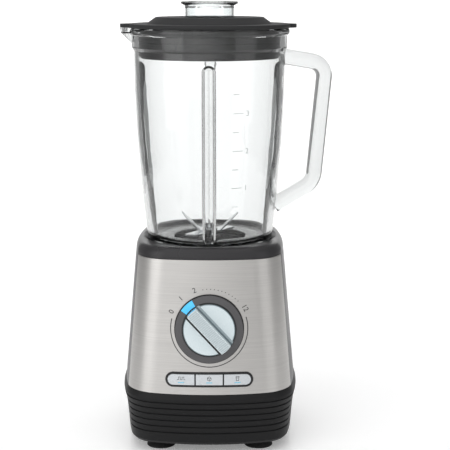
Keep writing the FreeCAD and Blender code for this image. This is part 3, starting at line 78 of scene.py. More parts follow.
TABLE_HALF_WIDTH = 1.0
PAPER_HALF_WIDTH = 0.62
PAPER_FRONT = -2.0
PAPER_NARROWS = 0.5
PAPER_BACK = 0.9
PAPER_BEND = 0.7
PAPER_HEIGHT = 1.3
PAPER_GLOW = 0.21
turn = np.linspace(0, np.pi / 2, 24)
paper_y = np.concatenate([[PAPER_FRONT, PAPER_NARROWS], PAPER_BACK + PAPER_BEND * np.sin(turn),
                          [PAPER_BACK + PAPER_BEND]])
paper_z = np.concatenate([[0.0, 0.0], PAPER_BEND * (1 - np.cos(turn)), [PAPER_HEIGHT]])
paper_x = np.where(paper_y > PAPER_NARROWS, PAPER_HALF_WIDTH, TABLE_HALF_WIDTH)[:, None] * [-1.0, 1.0]
paper = surface_mesh("backdrop_paper", np.stack([
    paper_x,
    np.broadcast_to(paper_y[:, None], (paper_y.size, 2)),
    np.broadcast_to(paper_z[:, None], (paper_y.size, 2))], axis=-1))
paper_finish = bpy.data.materials.new("studio paper, matt, glowing")
paper_finish.use_nodes = True
tree = paper_finish.node_tree
shader = tree.nodes["Principled BSDF"]
shader.inputs["Base Color"].default_value = hex_colour("#F6F6F6")
shader.inputs["Roughness"].default_value = 0.32
shader.inputs["Specular IOR Level"].default_value = 0.35
shader.inputs["Emission Color"].default_value = (1.0, 1.0, 1.0, 1.0)
# painted light: the paper glows with its own emission, full under and behind the blender and fading towards
# the front of the table
place = add(tree, "ShaderNodeTexCoord")
split = add(tree, "ShaderNodeSeparateXYZ", links={0: (place, "Object")})
lit = add(tree, "ShaderNodeMapRange",
          {"From Min": -0.5, "From Max": -0.05, "To Min": 0.0, "To Max": PAPER_GLOW},
          {"Value": (split, "Y")})
tree.links.new(lit.outputs[0], shader.inputs["Emission Strength"])
paper.data.materials.append(paper_finish)

FRONT_WALL = 1.4
SIDE_WALL = 0.55
BACK_WALL = 0.34
BRIGHT_TO_LEFT = 0.35
room = bpy.data.worlds.new("pale room")
bpy.context.scene.world = room
room.use_nodes = True
tree = room.node_tree
tree.nodes.clear()
direction = add(tree, "ShaderNodeTexCoord")
split = add(tree, "ShaderNodeSeparateXYZ", links={0: (direction, "Generated")})
# white walls in front, brightest a little to the left, grey walls to the sides and behind
towards_light = add(tree, "ShaderNodeMath", {"operation": "ADD", 1: BRIGHT_TO_LEFT}, {0: (split, "X")})
aside = add(tree, "ShaderNodeMath", {"operation": "ABSOLUTE"}, {0: (towards_light, 0)})
front_wall = add(tree, "ShaderNodeMapRange", {"From Min": 0.1, "From Max": 0.95, "To Min": FRONT_WALL,
                                              "To Max": SIDE_WALL}, {"Value": (aside, 0)})
ahead = add(tree, "ShaderNodeMapRange", {"From Min": 0.10, "From Max": -0.45, "To Min": 0.0, "To Max": 1.0},
            {"Value": (split, "Y")})
strength = add(tree, "ShaderNodeMix", {"data_type": "FLOAT", 2: BACK_WALL},
               {0: (ahead, 0), 3: (front_wall, 0)})
glow = add(tree, "ShaderNodeBackground", {"Color": (1.0, 1.0, 1.0, 1.0)}, {"Strength": (strength, 0)})
add(tree, "ShaderNodeOutputWorld", links={"Surface": (glow, 0)})


def soft_box(name, place, target, width, height, power):
    """An area light at a place, facing a target."""
    lamp = bpy.data.lights.new(name, "AREA")
    lamp.shape = "RECTANGLE"
    lamp.size, lamp.size_y, lamp.energy = width, height, power
    stand = bpy.data.objects.new(name, lamp)
    stand.location = place
    aim = np.array(target) - np.array(place)
    level = np.hypot(aim[0], aim[1])
    stand.rotation_euler = (np.arctan2(level, -aim[2]), 0.0, np.arctan2(-aim[0], aim[1]))
    bpy.context.scene.collection.objects.link(stand)


soft_box("soft_box_left", (-1.45, -1.0, 0.6), (0, 0, 0.2), 1.1, 1.4, 4.0)
soft_box("soft_box_right", (1.45, -1.0, 0.6), (0, 0, 0.2), 1.1, 1.4, 2.2)
soft_box("soft_box_top", (0.0, -0.1, 1.75), (0, 0, 0.2), 1.4, 1.4, 4.0)
soft_box("backdrop_light", (0.0, 0.55, 1.9), (0, 1.5, 0.3), 2.2, 0.5, 6.0)

CAMERA_PLACE = (0.01394, -1.180, 0.415)
CAMERA_DOWN = np.radians(10.55)
CAMERA_LENS = 103.6
view = bpy.data.cameras.new("camera")
view.lens, view.sensor_width = CAMERA_LENS, 36.0
view.dof.use_dof = False
stand = bpy.data.objects.new("camera", view)
stand.location = CAMERA_PLACE
stand.rotation_euler = (np.pi / 2 - CAMERA_DOWN, 0.0, 0.0)
bpy.context.scene.collection.objects.link(stand)
bpy.context.scene.camera = stand
bpy.context.scene.view_settings.view_transform = "Standard"


# ---------------------------------------------------------------- feet
# Four black rubber suction feet, pushed up through the bottom plate. Moulded rubber is matt,
# and picks up a little dust that greys it unevenly.
def finish(material, *names):
    """Gives the CAD nodes one material in every slot."""
    for name in names:
        for place in nodes[name].material_slots:
            place.material = material


def new_material(name):
    """An empty material with its tree and Principled shader."""
    material = bpy.data.materials.new(name)
    material.use_nodes = True
    return material, material.node_tree, material.node_tree.nodes["Principled BSDF"]


def moulded(name, dark, light, grain_mm, grain_depth_mm, low, high, specular=0.5):
    """Moulded plastic or rubber: the mould's grain as a fine bump, and a slow wandering of colour and
    gloss between two values, as handling and cooling leave it."""
    material, tree, shader = new_material(name)
    place = add(tree, "ShaderNodeTexCoord")
    slow = add(tree, "ShaderNodeTexNoise", {"Scale": 22.0, "Detail": 3.0}, {"Vector": (place, "Object")})
    grain = add(tree, "ShaderNodeTexNoise", {"Scale": 1000.0 / grain_mm, "Detail": 1.0},
                {"Vector": (place, "Object")})
    shade = add(tree, "ShaderNodeMix", {"data_type": "RGBA", 6: hex_colour(dark), 7: hex_colour(light)},
                {0: (slow, 0)})
    gloss = add(tree, "ShaderNodeMapRange", {"From Min": 0.3, "From Max": 0.7, "To Min": low, "To Max": high},
                {"Value": (slow, 0)})
    bump = add(tree, "ShaderNodeBump", {"Strength": 1.0, "Distance": grain_depth_mm / 1000.0},
               {"Height": (grain, 0)})
    tree.links.new(shade.outputs[2], shader.inputs["Base Color"])
    tree.links.new(gloss.outputs[0], shader.inputs["Roughness"])
    tree.links.new(bump.outputs[0], shader.inputs["Normal"])
    shader.inputs["Specular IOR Level"].default_value = specular
    return material


foot_rubber = moulded("moulded rubber, matt", "#161616", "#1F1F20", 0.6, 0.02, 0.55, 0.72, 0.4)
finish(foot_rubber, "foot_front_left", "foot_front_right", "foot_rear_left", "foot_rear_right",
       "motor_mounts")

# ---------------------------------------------------------------- skirt and bottom plate
# Black ABS ring with moulded bands, and the plate that closes the base from below. The mould is
# lightly sparked, which leaves a fine satin grain.
skirt_plastic = moulded("abs, black, satin grain", "#131314", "#19191A", 0.5, 0.012, 0.40, 0.50, 0.22)
finish(skirt_plastic, "base_skirt", "bottom_plate", "cord_gland", "fan_shroud")


# ---------------------------------------------------------------- screws and other small steel
# Zinc-plated screws and bolts hold the shells and the motor. The shafts and the bearings are
# ground steel, bright and smooth.
def plain_metal(name, dark, light, grain_mm, low, high):
    """Bare metal: colour and gloss wander between two values over the grain's size."""
    material, tree, shader = new_material(name)
    place = add(tree, "ShaderNodeTexCoord")
    patches = add(tree, "ShaderNodeTexNoise", {"Scale": 1000.0 / grain_mm, "Detail": 4.0},
                  {"Vector": (place, "Object")})
    shade = add(tree, "ShaderNodeMix", {"data_type": "RGBA", 6: hex_colour(dark), 7: hex_colour(light)},
                {0: (patches, 0)})
    gloss = add(tree, "ShaderNodeMapRange", {"From Min": 0.3, "From Max": 0.7, "To Min": low, "To Max": high},
                {"Value": (patches, 0)})
    tree.links.new(shade.outputs[2], shader.inputs["Base Color"])
    tree.links.new(gloss.outputs[0], shader.inputs["Roughness"])
    shader.inputs["Metallic"].default_value = 1.0
    return material


zinc_plate = plain_metal("zinc plate, bright", "#9C9F9E", "#C4C6C2", 1.5, 0.28, 0.42)
finish(zinc_plate, "case_screws", "motor_bolts", "mount_screws")
ground_steel = plain_metal("ground steel", "#A9ABAE", "#C9CBCC", 4.0, 0.14, 0.24)
finish(ground_steel, "motor_shaft", "upper_bearing", "lower_bearing", "dial_shaft", "blade_shaft",
       "thrust_washer")

# ---------------------------------------------------------------- motor
# Universal motor: varnished laminations, enamelled copper windings, cast brackets, brass brush
# boxes with carbon brushes, and a nylon fan.
lamination = plain_metal("lamination steel, varnished", "#3A3B3F", "#55565A", 3.0, 0.4, 0.55)
finish(lamination, "field_stack", "armature_core")
cast_aluminium = plain_metal("aluminium, as cast", "#8E9092", "#A8AAAC", 1.2, 0.5, 0.62)
finish(cast_aluminium, "upper_bracket", "lower_bracket")
brass = plain_metal("brass, drawn", "#A88345", "#C5A263", 2.5, 0.25, 0.38)
finish(brass, "brush_boxes", "shaft_bushes")
carbon = moulded("carbon graphite", "#1C1C1E", "#2A2A2C", 0.4, 0.01, 0.5, 0.6)
finish(carbon, "carbon_brushes")
nylon = moulded("nylon, natural", "#D9D7CC", "#E6E4DA", 2.0, 0.01, 0.4, 0.5)
finish(nylon, "cooling_fan", "terminal_block")


def wave_scale(pitch_mm):
    """The wave node's scale for bands at a pitch: it counts 20 radians for each metre and unit."""
    return float(2 * np.pi * 1000.0 / pitch_mm / 20.0)


WIRE_PITCH_MM = 0.8
copper, tree, shader = new_material("enamelled copper wire")
place = add(tree, "ShaderNodeTexCoord")
strands = add(tree, "ShaderNodeTexWave",
              {"bands_direction": "Z", "Scale": wave_scale(WIRE_PITCH_MM), "Distortion": 0.4},
              {"Vector": (place, "Object")})
shade = add(tree, "ShaderNodeMix", {"data_type": "RGBA", 6: hex_colour("#7A3A1C"), 7: hex_colour("#C07040")},
            {0: (strands, 1)})
bump = add(tree, "ShaderNodeBump", {"Strength": 1.0, "Distance": 0.0002}, {"Height": (strands, 1)})
tree.links.new(shade.outputs[2], shader.inputs["Base Color"])
tree.links.new(bump.outputs[0], shader.inputs["Normal"])
shader.inputs["Metallic"].default_value = 0.85
shader.inputs["Roughness"].default_value = 0.35
finish(copper, "field_coils", "armature_windings", "commutator")

# ---------------------------------------------------------------- side housing
# Dark grey ABS shell of the sides and back, satin, in one moulding with its air slots. Warm air
# from the motor leaves through the slots.
housing_plastic = moulded("abs, dark grey, satin", "#454446", "#4F4E50", 0.5, 0.010, 0.34, 0.42, 0.55)
finish(housing_plastic, "side_housing")

# ---------------------------------------------------------------- front panel
# Brushed stainless sheet wrapped round the front. The belt leaves short, level scratches, which
# smear reflections sideways and show as faint level lines.
# grit lines are about 0.05 mm wide on the real sheet, and wider here, so that they show
GRIT_LINE_MM = 0.35
brushed_steel, tree, shader = new_material("stainless steel, brushed")
place = add(tree, "ShaderNodeTexCoord")
stretch = add(tree, "ShaderNodeMapping", {"Scale": (20.0, 20.0, 1000.0 / GRIT_LINE_MM)},
              {0: (place, "Object")})
lines = add(tree, "ShaderNodeTexNoise", {"Scale": 1.0, "Detail": 2.0}, {"Vector": (stretch, 0)})
slow = add(tree, "ShaderNodeTexNoise", {"Scale": 14.0, "Detail": 2.0}, {"Vector": (place, "Object")})
shade = add(tree, "ShaderNodeMix", {"data_type": "RGBA", 6: hex_colour("#B4B2B0"), 7: hex_colour("#CFCDCA")},
            {0: (lines, 0)})
gloss = add(tree, "ShaderNodeMapRange", {"From Min": 0.3, "From Max": 0.7, "To Min": 0.30, "To Max": 0.38},
            {"Value": (slow, 0)})
bump = add(tree, "ShaderNodeBump", {"Strength": 0.35, "Distance": 0.00002}, {"Height": (lines, 0)})
tree.links.new(shade.outputs[2], shader.inputs["Base Color"])
tree.links.new(gloss.outputs[0], shader.inputs["Roughness"])
tree.links.new(bump.outputs[0], shader.inputs["Normal"])
shader.inputs["Metallic"].default_value = 1.0
shader.inputs["Anisotropic"].default_value = 0.5
shader.inputs["Anisotropic Rotation"].default_value = 0.25
finish(brushed_steel, "front_panel")

# ---------------------------------------------------------------- dial's scale, printed on the steel
# Dark grey pad-printed marks: a long arc under the dial, a row of dots over it, and the figures
# 0, 1, 2 and 12. The ink is a thin, matt film that follows the panel's curve.
PANEL_BOW = 0.205
PANEL_TAPER = 0.0885
PANEL_DEEPER = 0.002
PANEL_FOOT_HALF = 0.0784
PANEL_FOOT_Z = 0.057
DIAL_Z = 0.116
INK = 0.00006
PANEL_LEAN = np.arctan(PANEL_TAPER)
PANEL_Y = -(PANEL_FOOT_HALF - PANEL_TAPER * (DIAL_Z - PANEL_FOOT_Z) + PANEL_DEEPER)


def onto_panel(across, up, proud):
    """Points on the bowed steel from panel coordinates: across is x, up runs along the leaning panel
    from the dial's centre. The bow is an arc of the panel's radius at every height."""
    level = PANEL_BOW - np.sqrt(PANEL_BOW**2 - across**2)
    z = DIAL_Z + up * np.cos(PANEL_LEAN) + proud * np.sin(PANEL_LEAN)
    y = PANEL_Y + up * np.sin(PANEL_LEAN) + level - proud * np.cos(PANEL_LEAN)
    return np.stack([np.broadcast_to(across, z.shape), y, z], axis=-1)


def arc_band(name, radius, width, first, last, steps):
    """A band of ink between two radii round the dial, from one angle to another."""
    angle = np.radians(np.linspace(first, last, steps))[None, :]
    reach = (radius + np.array([-width / 2, width / 2]))[:, None]
    return surface_mesh(name, onto_panel(reach * np.cos(angle), reach * np.sin(angle), INK))


def mesh_from(name, points, faces):
    """An object from an array of points and a list of faces."""
    mesh = bpy.data.meshes.new(name)
    mesh.from_pydata(points.tolist(), [], faces)
    piece = bpy.data.objects.new(name, mesh)
    bpy.context.scene.collection.objects.link(piece)
    return piece


def figure_outline(text, height):
    """A figure's flat mesh as an array of xy points, centred, and its faces, cut from the plain font."""
    curve = bpy.data.curves.new("figure", "FONT")
    curve.body, curve.size = text, height * 1.36
    curve.align_x, curve.align_y = "CENTER", "CENTER"
    curve.resolution_u = 6
    holder = bpy.data.objects.new("figure", curve)
    mesh = bpy.data.meshes.new_from_object(holder)
    flat = np.zeros(len(mesh.vertices) * 3)
    mesh.vertices.foreach_get("co", flat)
    flat = flat.reshape(-1, 3)[:, :2]
    faces = [list(face.vertices) for face in mesh.polygons]
    bpy.data.objects.remove(holder)
    bpy.data.curves.remove(curve)
    bpy.data.meshes.remove(mesh)
    return flat - (flat.min(0) + flat.max(0)) / 2, faces


print_ink = moulded("pad-print ink, dark grey", "#2E2E30", "#38383A", 0.3, 0.002, 0.5, 0.6, 0.3)
SCALE_RADIUS = 0.0341
SCALE_FIGURES = (("0", 156.0), ("1", 133.0), ("2", 111.0), ("12", 29.0))
SCALE_LINE = 0.00075
SCALE_FIGURE_HEIGHT = 0.0048
SCALE_FIGURE_OUT = 0.0026
SCALE_DOT_OUT = 0.0012
scale_arc = arc_band("scale_arc", SCALE_RADIUS, SCALE_LINE, 165.0, 377.5, 120)
marks = [scale_arc]
for text, bearing in SCALE_FIGURES:
    flat, faces = figure_outline(text, SCALE_FIGURE_HEIGHT)
    lean = np.radians(bearing - 90.0)
    radius = SCALE_RADIUS + SCALE_FIGURE_OUT
    across = flat[:, 0] * np.cos(lean) - flat[:, 1] * np.sin(lean) + radius * np.cos(np.radians(bearing))
    up = flat[:, 0] * np.sin(lean) + flat[:, 1] * np.cos(lean) + radius * np.sin(np.radians(bearing))
    marks.append(mesh_from(f"scale_figure_{text}", onto_panel(across, up, INK), faces))
DOT_RADIUS = 0.00042
rim = np.linspace(0, 2 * np.pi, 12, endpoint=False)
for number, bearing in enumerate(np.radians(np.linspace(99.0, 44.0, 11))):
    across = (SCALE_RADIUS + SCALE_DOT_OUT) * np.cos(bearing) + DOT_RADIUS * np.cos(rim)
    up = (SCALE_RADIUS + SCALE_DOT_OUT) * np.sin(bearing) + DOT_RADIUS * np.sin(rim)
    marks.append(mesh_from(f"scale_dot_{number + 1}", onto_panel(across, up, INK), [list(range(12))]))
for mark in marks:
    mark.data.materials.append(print_ink)
    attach(mark, "base")

# ---------------------------------------------------------------- dial
# A black seat in the steel, a dark satin ring, a satin silver knob with a straight grip, and a lit
# blue window that turns with it. The grip's top has fine slanting ribs for the fingers.
seat_plastic = moulded("abs, black, fine satin", "#0E0E0F", "#151516", 0.4, 0.006, 0.35, 0.45, 0.5)
finish(seat_plastic, "dial_seat", "speed_encoder", "button_frame", "tact_switches")
ring_plastic = moulded("abs, charcoal, satin", "#4B4A4C", "#575658", 0.5, 0.006, 0.30, 0.38, 0.5)
finish(ring_plastic, "dial_skirt")

GRIP_BEARING = 133.0
GRIP_TOP = 0.0165
GRIP_HALF = 0.0052
KNOB_FACE = 0.0070
KNOB_RADIUS = 0.0236
RIB_PITCH_MM = 1.3
RIB_SLANT = 28.0
RIB_INSET = 0.0006
# widths of the painted reflection, shadows, shade and highlight on the knob
BEVEL_REFLECTION_WIDTH = 0.0022
EDGE_SHADOW_WIDTH = 0.0009
PAST_EDGE = 0.001
UPPER_HIGHLIGHT_WIDTH = 0.0034
UPPER_FOOT_SHADE_WIDTH = 0.0015
GRIP_SHADOW_WIDTH = 0.0030
HAIR = 0.0001
knob_paint, tree, shader = new_material("satin silver paint on abs, painted light and shade")
place = add(tree, "ShaderNodeTexCoord")
# the dial's own axes: x across the panel, y up it, z outwards, from the dial's centre
from_dial = add(tree, "ShaderNodeMapping",
                {"vector_type": "TEXTURE", "Location": (0.0, float(PANEL_Y), DIAL_Z),
                 "Rotation": (float(np.pi / 2 - PANEL_LEAN), 0.0, 0.0)},
                {0: (place, "Object")})
along_grip = add(tree, "ShaderNodeMapping", {"vector_type": "TEXTURE",
                                             "Rotation": (0.0, 0.0, float(np.radians(GRIP_BEARING)))},
                 {0: (from_dial, 0)})
grip_axes = add(tree, "ShaderNodeSeparateXYZ", links={0: (along_grip, 0)})
on_top = add(tree, "ShaderNodeMath", {"operation": "GREATER_THAN", 1: GRIP_TOP - 2 * HAIR},
             {0: (grip_axes, "Z")})
aside = add(tree, "ShaderNodeMath", {"operation": "ABSOLUTE"}, {0: (grip_axes, "Y")})
off_edge = add(tree, "ShaderNodeMath", {"operation": "LESS_THAN", 1: GRIP_HALF - RIB_INSET}, {0: (aside, 0)})
ribbed = add(tree, "ShaderNodeMath", {"operation": "MULTIPLY"}, {0: (on_top, 0), 1: (off_edge, 0)})
# the ribs slant across the grip
slant = add(tree, "ShaderNodeMapping", {"Rotation": (0.0, 0.0, float(np.radians(RIB_SLANT)))},
            {0: (from_dial, 0)})
ribs = add(tree, "ShaderNodeTexWave",
           {"bands_direction": "Y", "Scale": wave_scale(RIB_PITCH_MM), "Distortion": 0.0},
           {"Vector": (slant, 0)})
rib_mask = add(tree, "ShaderNodeMath", {"operation": "MULTIPLY"}, {0: (ribs, 1), 1: (ribbed, 0)})
flakes = add(tree, "ShaderNodeTexNoise", {"Scale": 900.0, "Detail": 1.0}, {"Vector": (place, "Object")})
silver = add(tree, "ShaderNodeMix", {"data_type": "RGBA", 6: hex_colour("#D3E0E4"), 7: hex_colour("#E0EAED")},
             {0: (flakes, 0)})


def between(value, low, high):
    """One where a value lies between two limits, and nought elsewhere."""
    above = add(tree, "ShaderNodeMath", {"operation": "GREATER_THAN", 1: low}, {0: value})
    below = add(tree, "ShaderNodeMath", {"operation": "LESS_THAN", 1: high}, {0: value})
    return add(tree, "ShaderNodeMath", {"operation": "MULTIPLY"}, {0: (above, 0), 1: (below, 0)})


def painted(mask, colour, under):
    """A colour laid over another where a mask is one."""
    return add(tree, "ShaderNodeMix", {"data_type": "RGBA", 7: hex_colour(colour)},
               {0: (mask, 0), 6: (under, 2)})


# painted light round the knob: a painted reflection on the disc's bevel and a painted shadow at its edge, a
# painted highlight on the grip's upper side with painted shade at its foot, and a painted shadow along the
# grip's lower side
flat = add(tree, "ShaderNodeVectorMath", {"operation": "MULTIPLY", 1: (1.0, 1.0, 0.0)}, {0: (from_dial, 0)})
reach = add(tree, "ShaderNodeVectorMath", {"operation": "LENGTH"}, {0: (flat, 0)})
low_down = add(tree, "ShaderNodeMath", {"operation": "LESS_THAN", 1: KNOB_FACE - HAIR},
               {0: (grip_axes, "Z")})
# painted reflection: the disc's bevel painted a darker grey-teal
bevel = between((reach, "Value"), KNOB_RADIUS - BEVEL_REFLECTION_WIDTH, KNOB_RADIUS + PAST_EDGE)
bevel_reflection_mask = add(tree, "ShaderNodeMath", {"operation": "MULTIPLY"}, {0: (low_down, 0), 1: (bevel, 0)})
shade = painted(bevel_reflection_mask, "#8FA0A6", silver)
# painted shadow: a dark band at the disc's rim
edge = between((reach, "Value"), KNOB_RADIUS - EDGE_SHADOW_WIDTH, KNOB_RADIUS + PAST_EDGE)
edge_shadow_mask = add(tree, "ShaderNodeMath", {"operation": "MULTIPLY"}, {0: (low_down, 0), 1: (edge, 0)})
shade = painted(edge_shadow_mask, "#262B2D", shade)
# painted highlight: the grip's upper side painted lighter
upper = between((grip_axes, "Y"), -GRIP_HALF - UPPER_HIGHLIGHT_WIDTH, -GRIP_HALF - HAIR)
shade = painted(upper, "#9DABB0", shade)
# painted shade: a darker line at the foot of the grip's upper side
foot = between((grip_axes, "Y"), -GRIP_HALF - UPPER_FOOT_SHADE_WIDTH, -GRIP_HALF - HAIR)
shade = painted(foot, "#66747A", shade)
# painted shadow: a near-black band along the grip's lower side
grip_shadow = between((grip_axes, "Y"), GRIP_HALF + HAIR, GRIP_HALF + GRIP_SHADOW_WIDTH)
shade = painted(grip_shadow, "#1C1E20", shade)
# painted shade: the ribs are painted darker in their grooves
shade = painted(rib_mask, "#AEBBC0", shade)
bump = add(tree, "ShaderNodeBump", {"Strength": 1.0, "Distance": 0.0003, "invert": True},
           {"Height": (rib_mask, 0)})
tree.links.new(shade.outputs[2], shader.inputs["Base Color"])
tree.links.new(bump.outputs[0], shader.inputs["Normal"])
shader.inputs["Metallic"].default_value = 0.1
shader.inputs["Roughness"].default_value = 0.34
finish(knob_paint, "dial_knob")

blue_lens, tree, shader = new_material("acrylic, clear blue, lit from behind")
place = add(tree, "ShaderNodeTexCoord")
slow = add(tree, "ShaderNodeTexNoise", {"Scale": 120.0}, {"Vector": (place, "Object")})
shade = add(tree, "ShaderNodeMix", {"data_type": "RGBA", 6: hex_colour("#2FA9E6"), 7: hex_colour("#5CCBF5")},
            {0: (slow, 0)})
tree.links.new(shade.outputs[2], shader.inputs["Base Color"])
tree.links.new(shade.outputs[2], shader.inputs["Emission Color"])
shader.inputs["Emission Strength"].default_value = 0.25
shader.inputs["Roughness"].default_value = 0.18
finish(blue_lens, "pointer_lens")

# ---------------------------------------------------------------- buttons
# Three silver push buttons side by side in a black frame. Each has a printed symbol and a small
# light bar under it: a pulse, a cube of ice and a tumbler.
button_silver = moulded("satin silver lacquer on abs", "#C6CBCF", "#D6DADD", 0.3, 0.002, 0.22, 0.30, 0.6)
button_silver.node_tree.nodes["Principled BSDF"].inputs["Metallic"].default_value = 0.3
finish(button_silver, "pulse_button", "ice_button", "smooth_button")
bar_lens, tree, shader = new_material("acrylic, pale blue")
place = add(tree, "ShaderNodeTexCoord")
slow = add(tree, "ShaderNodeTexNoise", {"Scale": 200.0}, {"Vector": (place, "Object")})
shade = add(tree, "ShaderNodeMix", {"data_type": "RGBA", 6: hex_colour("#7FC4DE"), 7: hex_colour("#9AD6EA")},
            {0: (slow, 0)})
tree.links.new(shade.outputs[2], shader.inputs["Base Color"])
shader.inputs["Roughness"].default_value = 0.25
finish(bar_lens, "pulse_light_bar", "ice_light_bar", "smooth_light_bar")

SYMBOL_LINE = 0.00038
BUTTON_FACE_PROUD = 0.0012
BUTTON_CENTRE = -0.0454
SYMBOL_ABOVE_CENTRE = 0.0009
BUTTON_PROUD = BUTTON_FACE_PROUD + INK
BUTTON_UP = BUTTON_CENTRE + SYMBOL_ABOVE_CENTRE


def stroke(points, width):
    """A flat line of ink along xy points: each point becomes two, half the width to either side of the
    mean direction there. Gives the points and the faces between them."""
    points = np.array(points, float)
    run = np.diff(points, axis=0)
    run /= np.linalg.norm(run, axis=1)[:, None]
    mean = np.concatenate([run[:1], run[:-1] + run[1:], run[-1:]])
    mean /= np.linalg.norm(mean, axis=1)[:, None]
    normal = np.stack([-mean[:, 1], mean[:, 0]], axis=1)
    spread = width / 2 / np.maximum((normal * np.concatenate(
        [np.stack([-run[:, 1], run[:, 0]], axis=1), [[-run[-1, 1], run[-1, 0]]]])).sum(1), 0.4)
    both = np.concatenate([points + normal * spread[:, None], points - normal * spread[:, None]])
    count = len(points)
    faces = [[i, i + count, i + 1 + count, i + 1] for i in range(count - 1)]
    return both, faces


def symbol(name, strokes, place_points):
    """A printed symbol from several strokes, put in place by a function of across and up."""
    parts, faces, start = [], [], 0
    for points in strokes:
        both, quads = stroke(points, SYMBOL_LINE)
        parts.append(both)
        faces += [[i + start for i in quad] for quad in quads]
        start += len(both)
    flat = np.concatenate(parts)
    return mesh_from(name, place_points(flat[:, 0], flat[:, 1]), faces)


corner = np.radians(np.arange(30, 391, 60))
CUBE_HALF = 0.0019
cube = np.stack([np.cos(corner), np.sin(corner)], axis=1) * CUBE_HALF
SYMBOLS = {
    "pulse": [[(-0.0036, -0.001), (-0.0022, -0.001), (-0.0022, 0.0013), (-0.0006, 0.0013), (-0.0006, -0.001),
               (0.0010, -0.001), (0.0010, 0.0013), (0.0026, 0.0013), (0.0026, -0.001), (0.0038, -0.001)]],
    "ice": [cube.tolist()] + [[(0, 0), cube[number].tolist()] for number in (0, 2, 4)],
    "smooth": [[(-0.0014, 0.0018), (-0.0010, -0.0018), (0.0010, -0.0018), (0.0014, 0.0018),
                (-0.0014, 0.0018)],
               [(-0.0012, 0.0006), (0.0012, 0.0006)]],
}
for name, strokes in SYMBOLS.items():
    low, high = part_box(f"{name}_button")
    middle = (low.x + high.x) / 2
    mark = symbol(f"{name}_symbol", strokes, lambda across, up: onto_panel(
        across + middle, up + BUTTON_UP, BUTTON_PROUD))
    mark.data.materials.append(print_ink)
    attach(mark, f"{name}_button")

# ---------------------------------------------------------------- control board
# Glass-fibre board behind the panel, which carries the switches. Its green solder mask is a little
# lighter over the copper tracks.
board, tree, shader = new_material("glass-fibre board, green mask")
place = add(tree, "ShaderNodeTexCoord")
tracks = add(tree, "ShaderNodeTexBrick", {"Scale": 120.0, "Color1": hex_colour("#0E4F2C"),
                                          "Color2": hex_colour("#14603A"), "Mortar": hex_colour("#1E7A4C")},
             {"Vector": (place, "Object")})
tree.links.new(tracks.outputs[0], shader.inputs["Base Color"])
shader.inputs["Roughness"].default_value = 0.3
finish(board, "control_board")

# ---------------------------------------------------------------- top cover
# Charcoal ABS, polished in the mould, with the jar's round seat in its middle. Light grey symbols
# at the front right show which way the jar turns to lock.
cover_plastic = moulded("abs, charcoal, polished", "#2C2B2D", "#323133", 1.0, 0.003, 0.26, 0.32, 0.32)
finish(cover_plastic, "top_cover")
cover_ink = moulded("pad-print ink, light grey", "#A9A9AA", "#B5B5B6", 0.3, 0.002, 0.5, 0.6, 0.3)
cover_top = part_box("top_cover")[1].z
SYMBOL_RADIUS = 0.0665
SHACKLE_RADIUS = 0.0011
half_turn = np.radians(np.linspace(0, 180, 9))
shackle = np.stack([np.cos(half_turn), np.sin(half_turn)], axis=1) * SHACKLE_RADIUS
lock_body = [(-0.0016, -0.0016), (0.0016, -0.0016), (0.0016, 0.0004), (-0.0016, 0.0004), (-0.0016, -0.0016)]
shut = [lock_body, (shackle + [0, 0.0006]).tolist()]
opened = [lock_body, (shackle + [0.0022, 0.0010]).tolist()]
arrow = [[(-0.0022, 0.0), (0.0022, 0.0)], [(-0.0010, 0.0009), (-0.0022, 0.0), (-0.0010, -0.0009)]]
for name, strokes, bearing in (("unlock", opened, -58.5), ("way", arrow, -50.5), ("lock", shut, -42.5)):
    angle = np.radians(bearing)
    tilt = angle + np.pi / 2

    def on_cover(across, up):
        """Flat on the cover's top, turned so that its foot points away from the jar."""
        x = SYMBOL_RADIUS * np.cos(angle) + across * np.cos(tilt) - up * np.sin(tilt)
        y = SYMBOL_RADIUS * np.sin(angle) + across * np.sin(tilt) + up * np.cos(tilt)
        return np.stack([x, y, np.full_like(x, cover_top + INK)], axis=-1)

    mark = symbol(f"cover_{name}_symbol", strokes, on_cover)
    mark.data.materials.append(cover_ink)
    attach(mark, "base")

# ---------------------------------------------------------------- drive and blade unit
# Black acetal star and socket, a glass-filled nylon collar and carrier, a silicone gasket, and
# stamped stainless blades with polished faces.
acetal = moulded("acetal, black", "#141415", "#1C1C1E", 1.0, 0.004, 0.3, 0.4, 0.5)
finish(acetal, "drive_coupling", "drive_socket", "jar_collar", "blade_carrier")
silicone = moulded("silicone, grey", "#7B7B7A", "#878786", 0.8, 0.006, 0.45, 0.55, 0.5)
finish(silicone, "jar_gasket", "shaft_seal")
blade_steel = plain_metal("stainless steel, stamped and polished", "#B4B6B8", "#D5D7D8", 6.0, 0.12, 0.22)
finish(blade_steel, "lower_blade", "upper_blade", "blade_nut")

# ---------------------------------------------------------------- glass jar
# Heavy pressed soda-lime glass, clear, with its handle in one piece, and the slow waviness that
# pressing leaves.
jar_glass, tree, shader = new_material("soda-lime glass, pressed")
place = add(tree, "ShaderNodeTexCoord")
waves = add(tree, "ShaderNodeTexNoise", {"Scale": 38.0, "Detail": 1.0}, {"Vector": (place, "Object")})
bump = add(tree, "ShaderNodeBump", {"Strength": 0.5, "Distance": 0.0005}, {"Height": (waves, 0)})
tree.links.new(bump.outputs[0], shader.inputs["Normal"])
shader.inputs["Base Color"].default_value = hex_colour("#FCFDFD")
shader.inputs["Transmission Weight"].default_value = 1.0
shader.inputs["Roughness"].default_value = 0.0
shader.inputs["IOR"].default_value = 1.5
# a trace of iron darkens long ways through the glass, as along a wall's edge
depth = add(tree, "ShaderNodeVolumeAbsorption", {"Color": hex_colour("#3C4A44"), "Density": 17.0})
tree.links.new(depth.outputs[0], tree.nodes["Material Output"].inputs["Volume"])
finish(jar_glass, "jar")

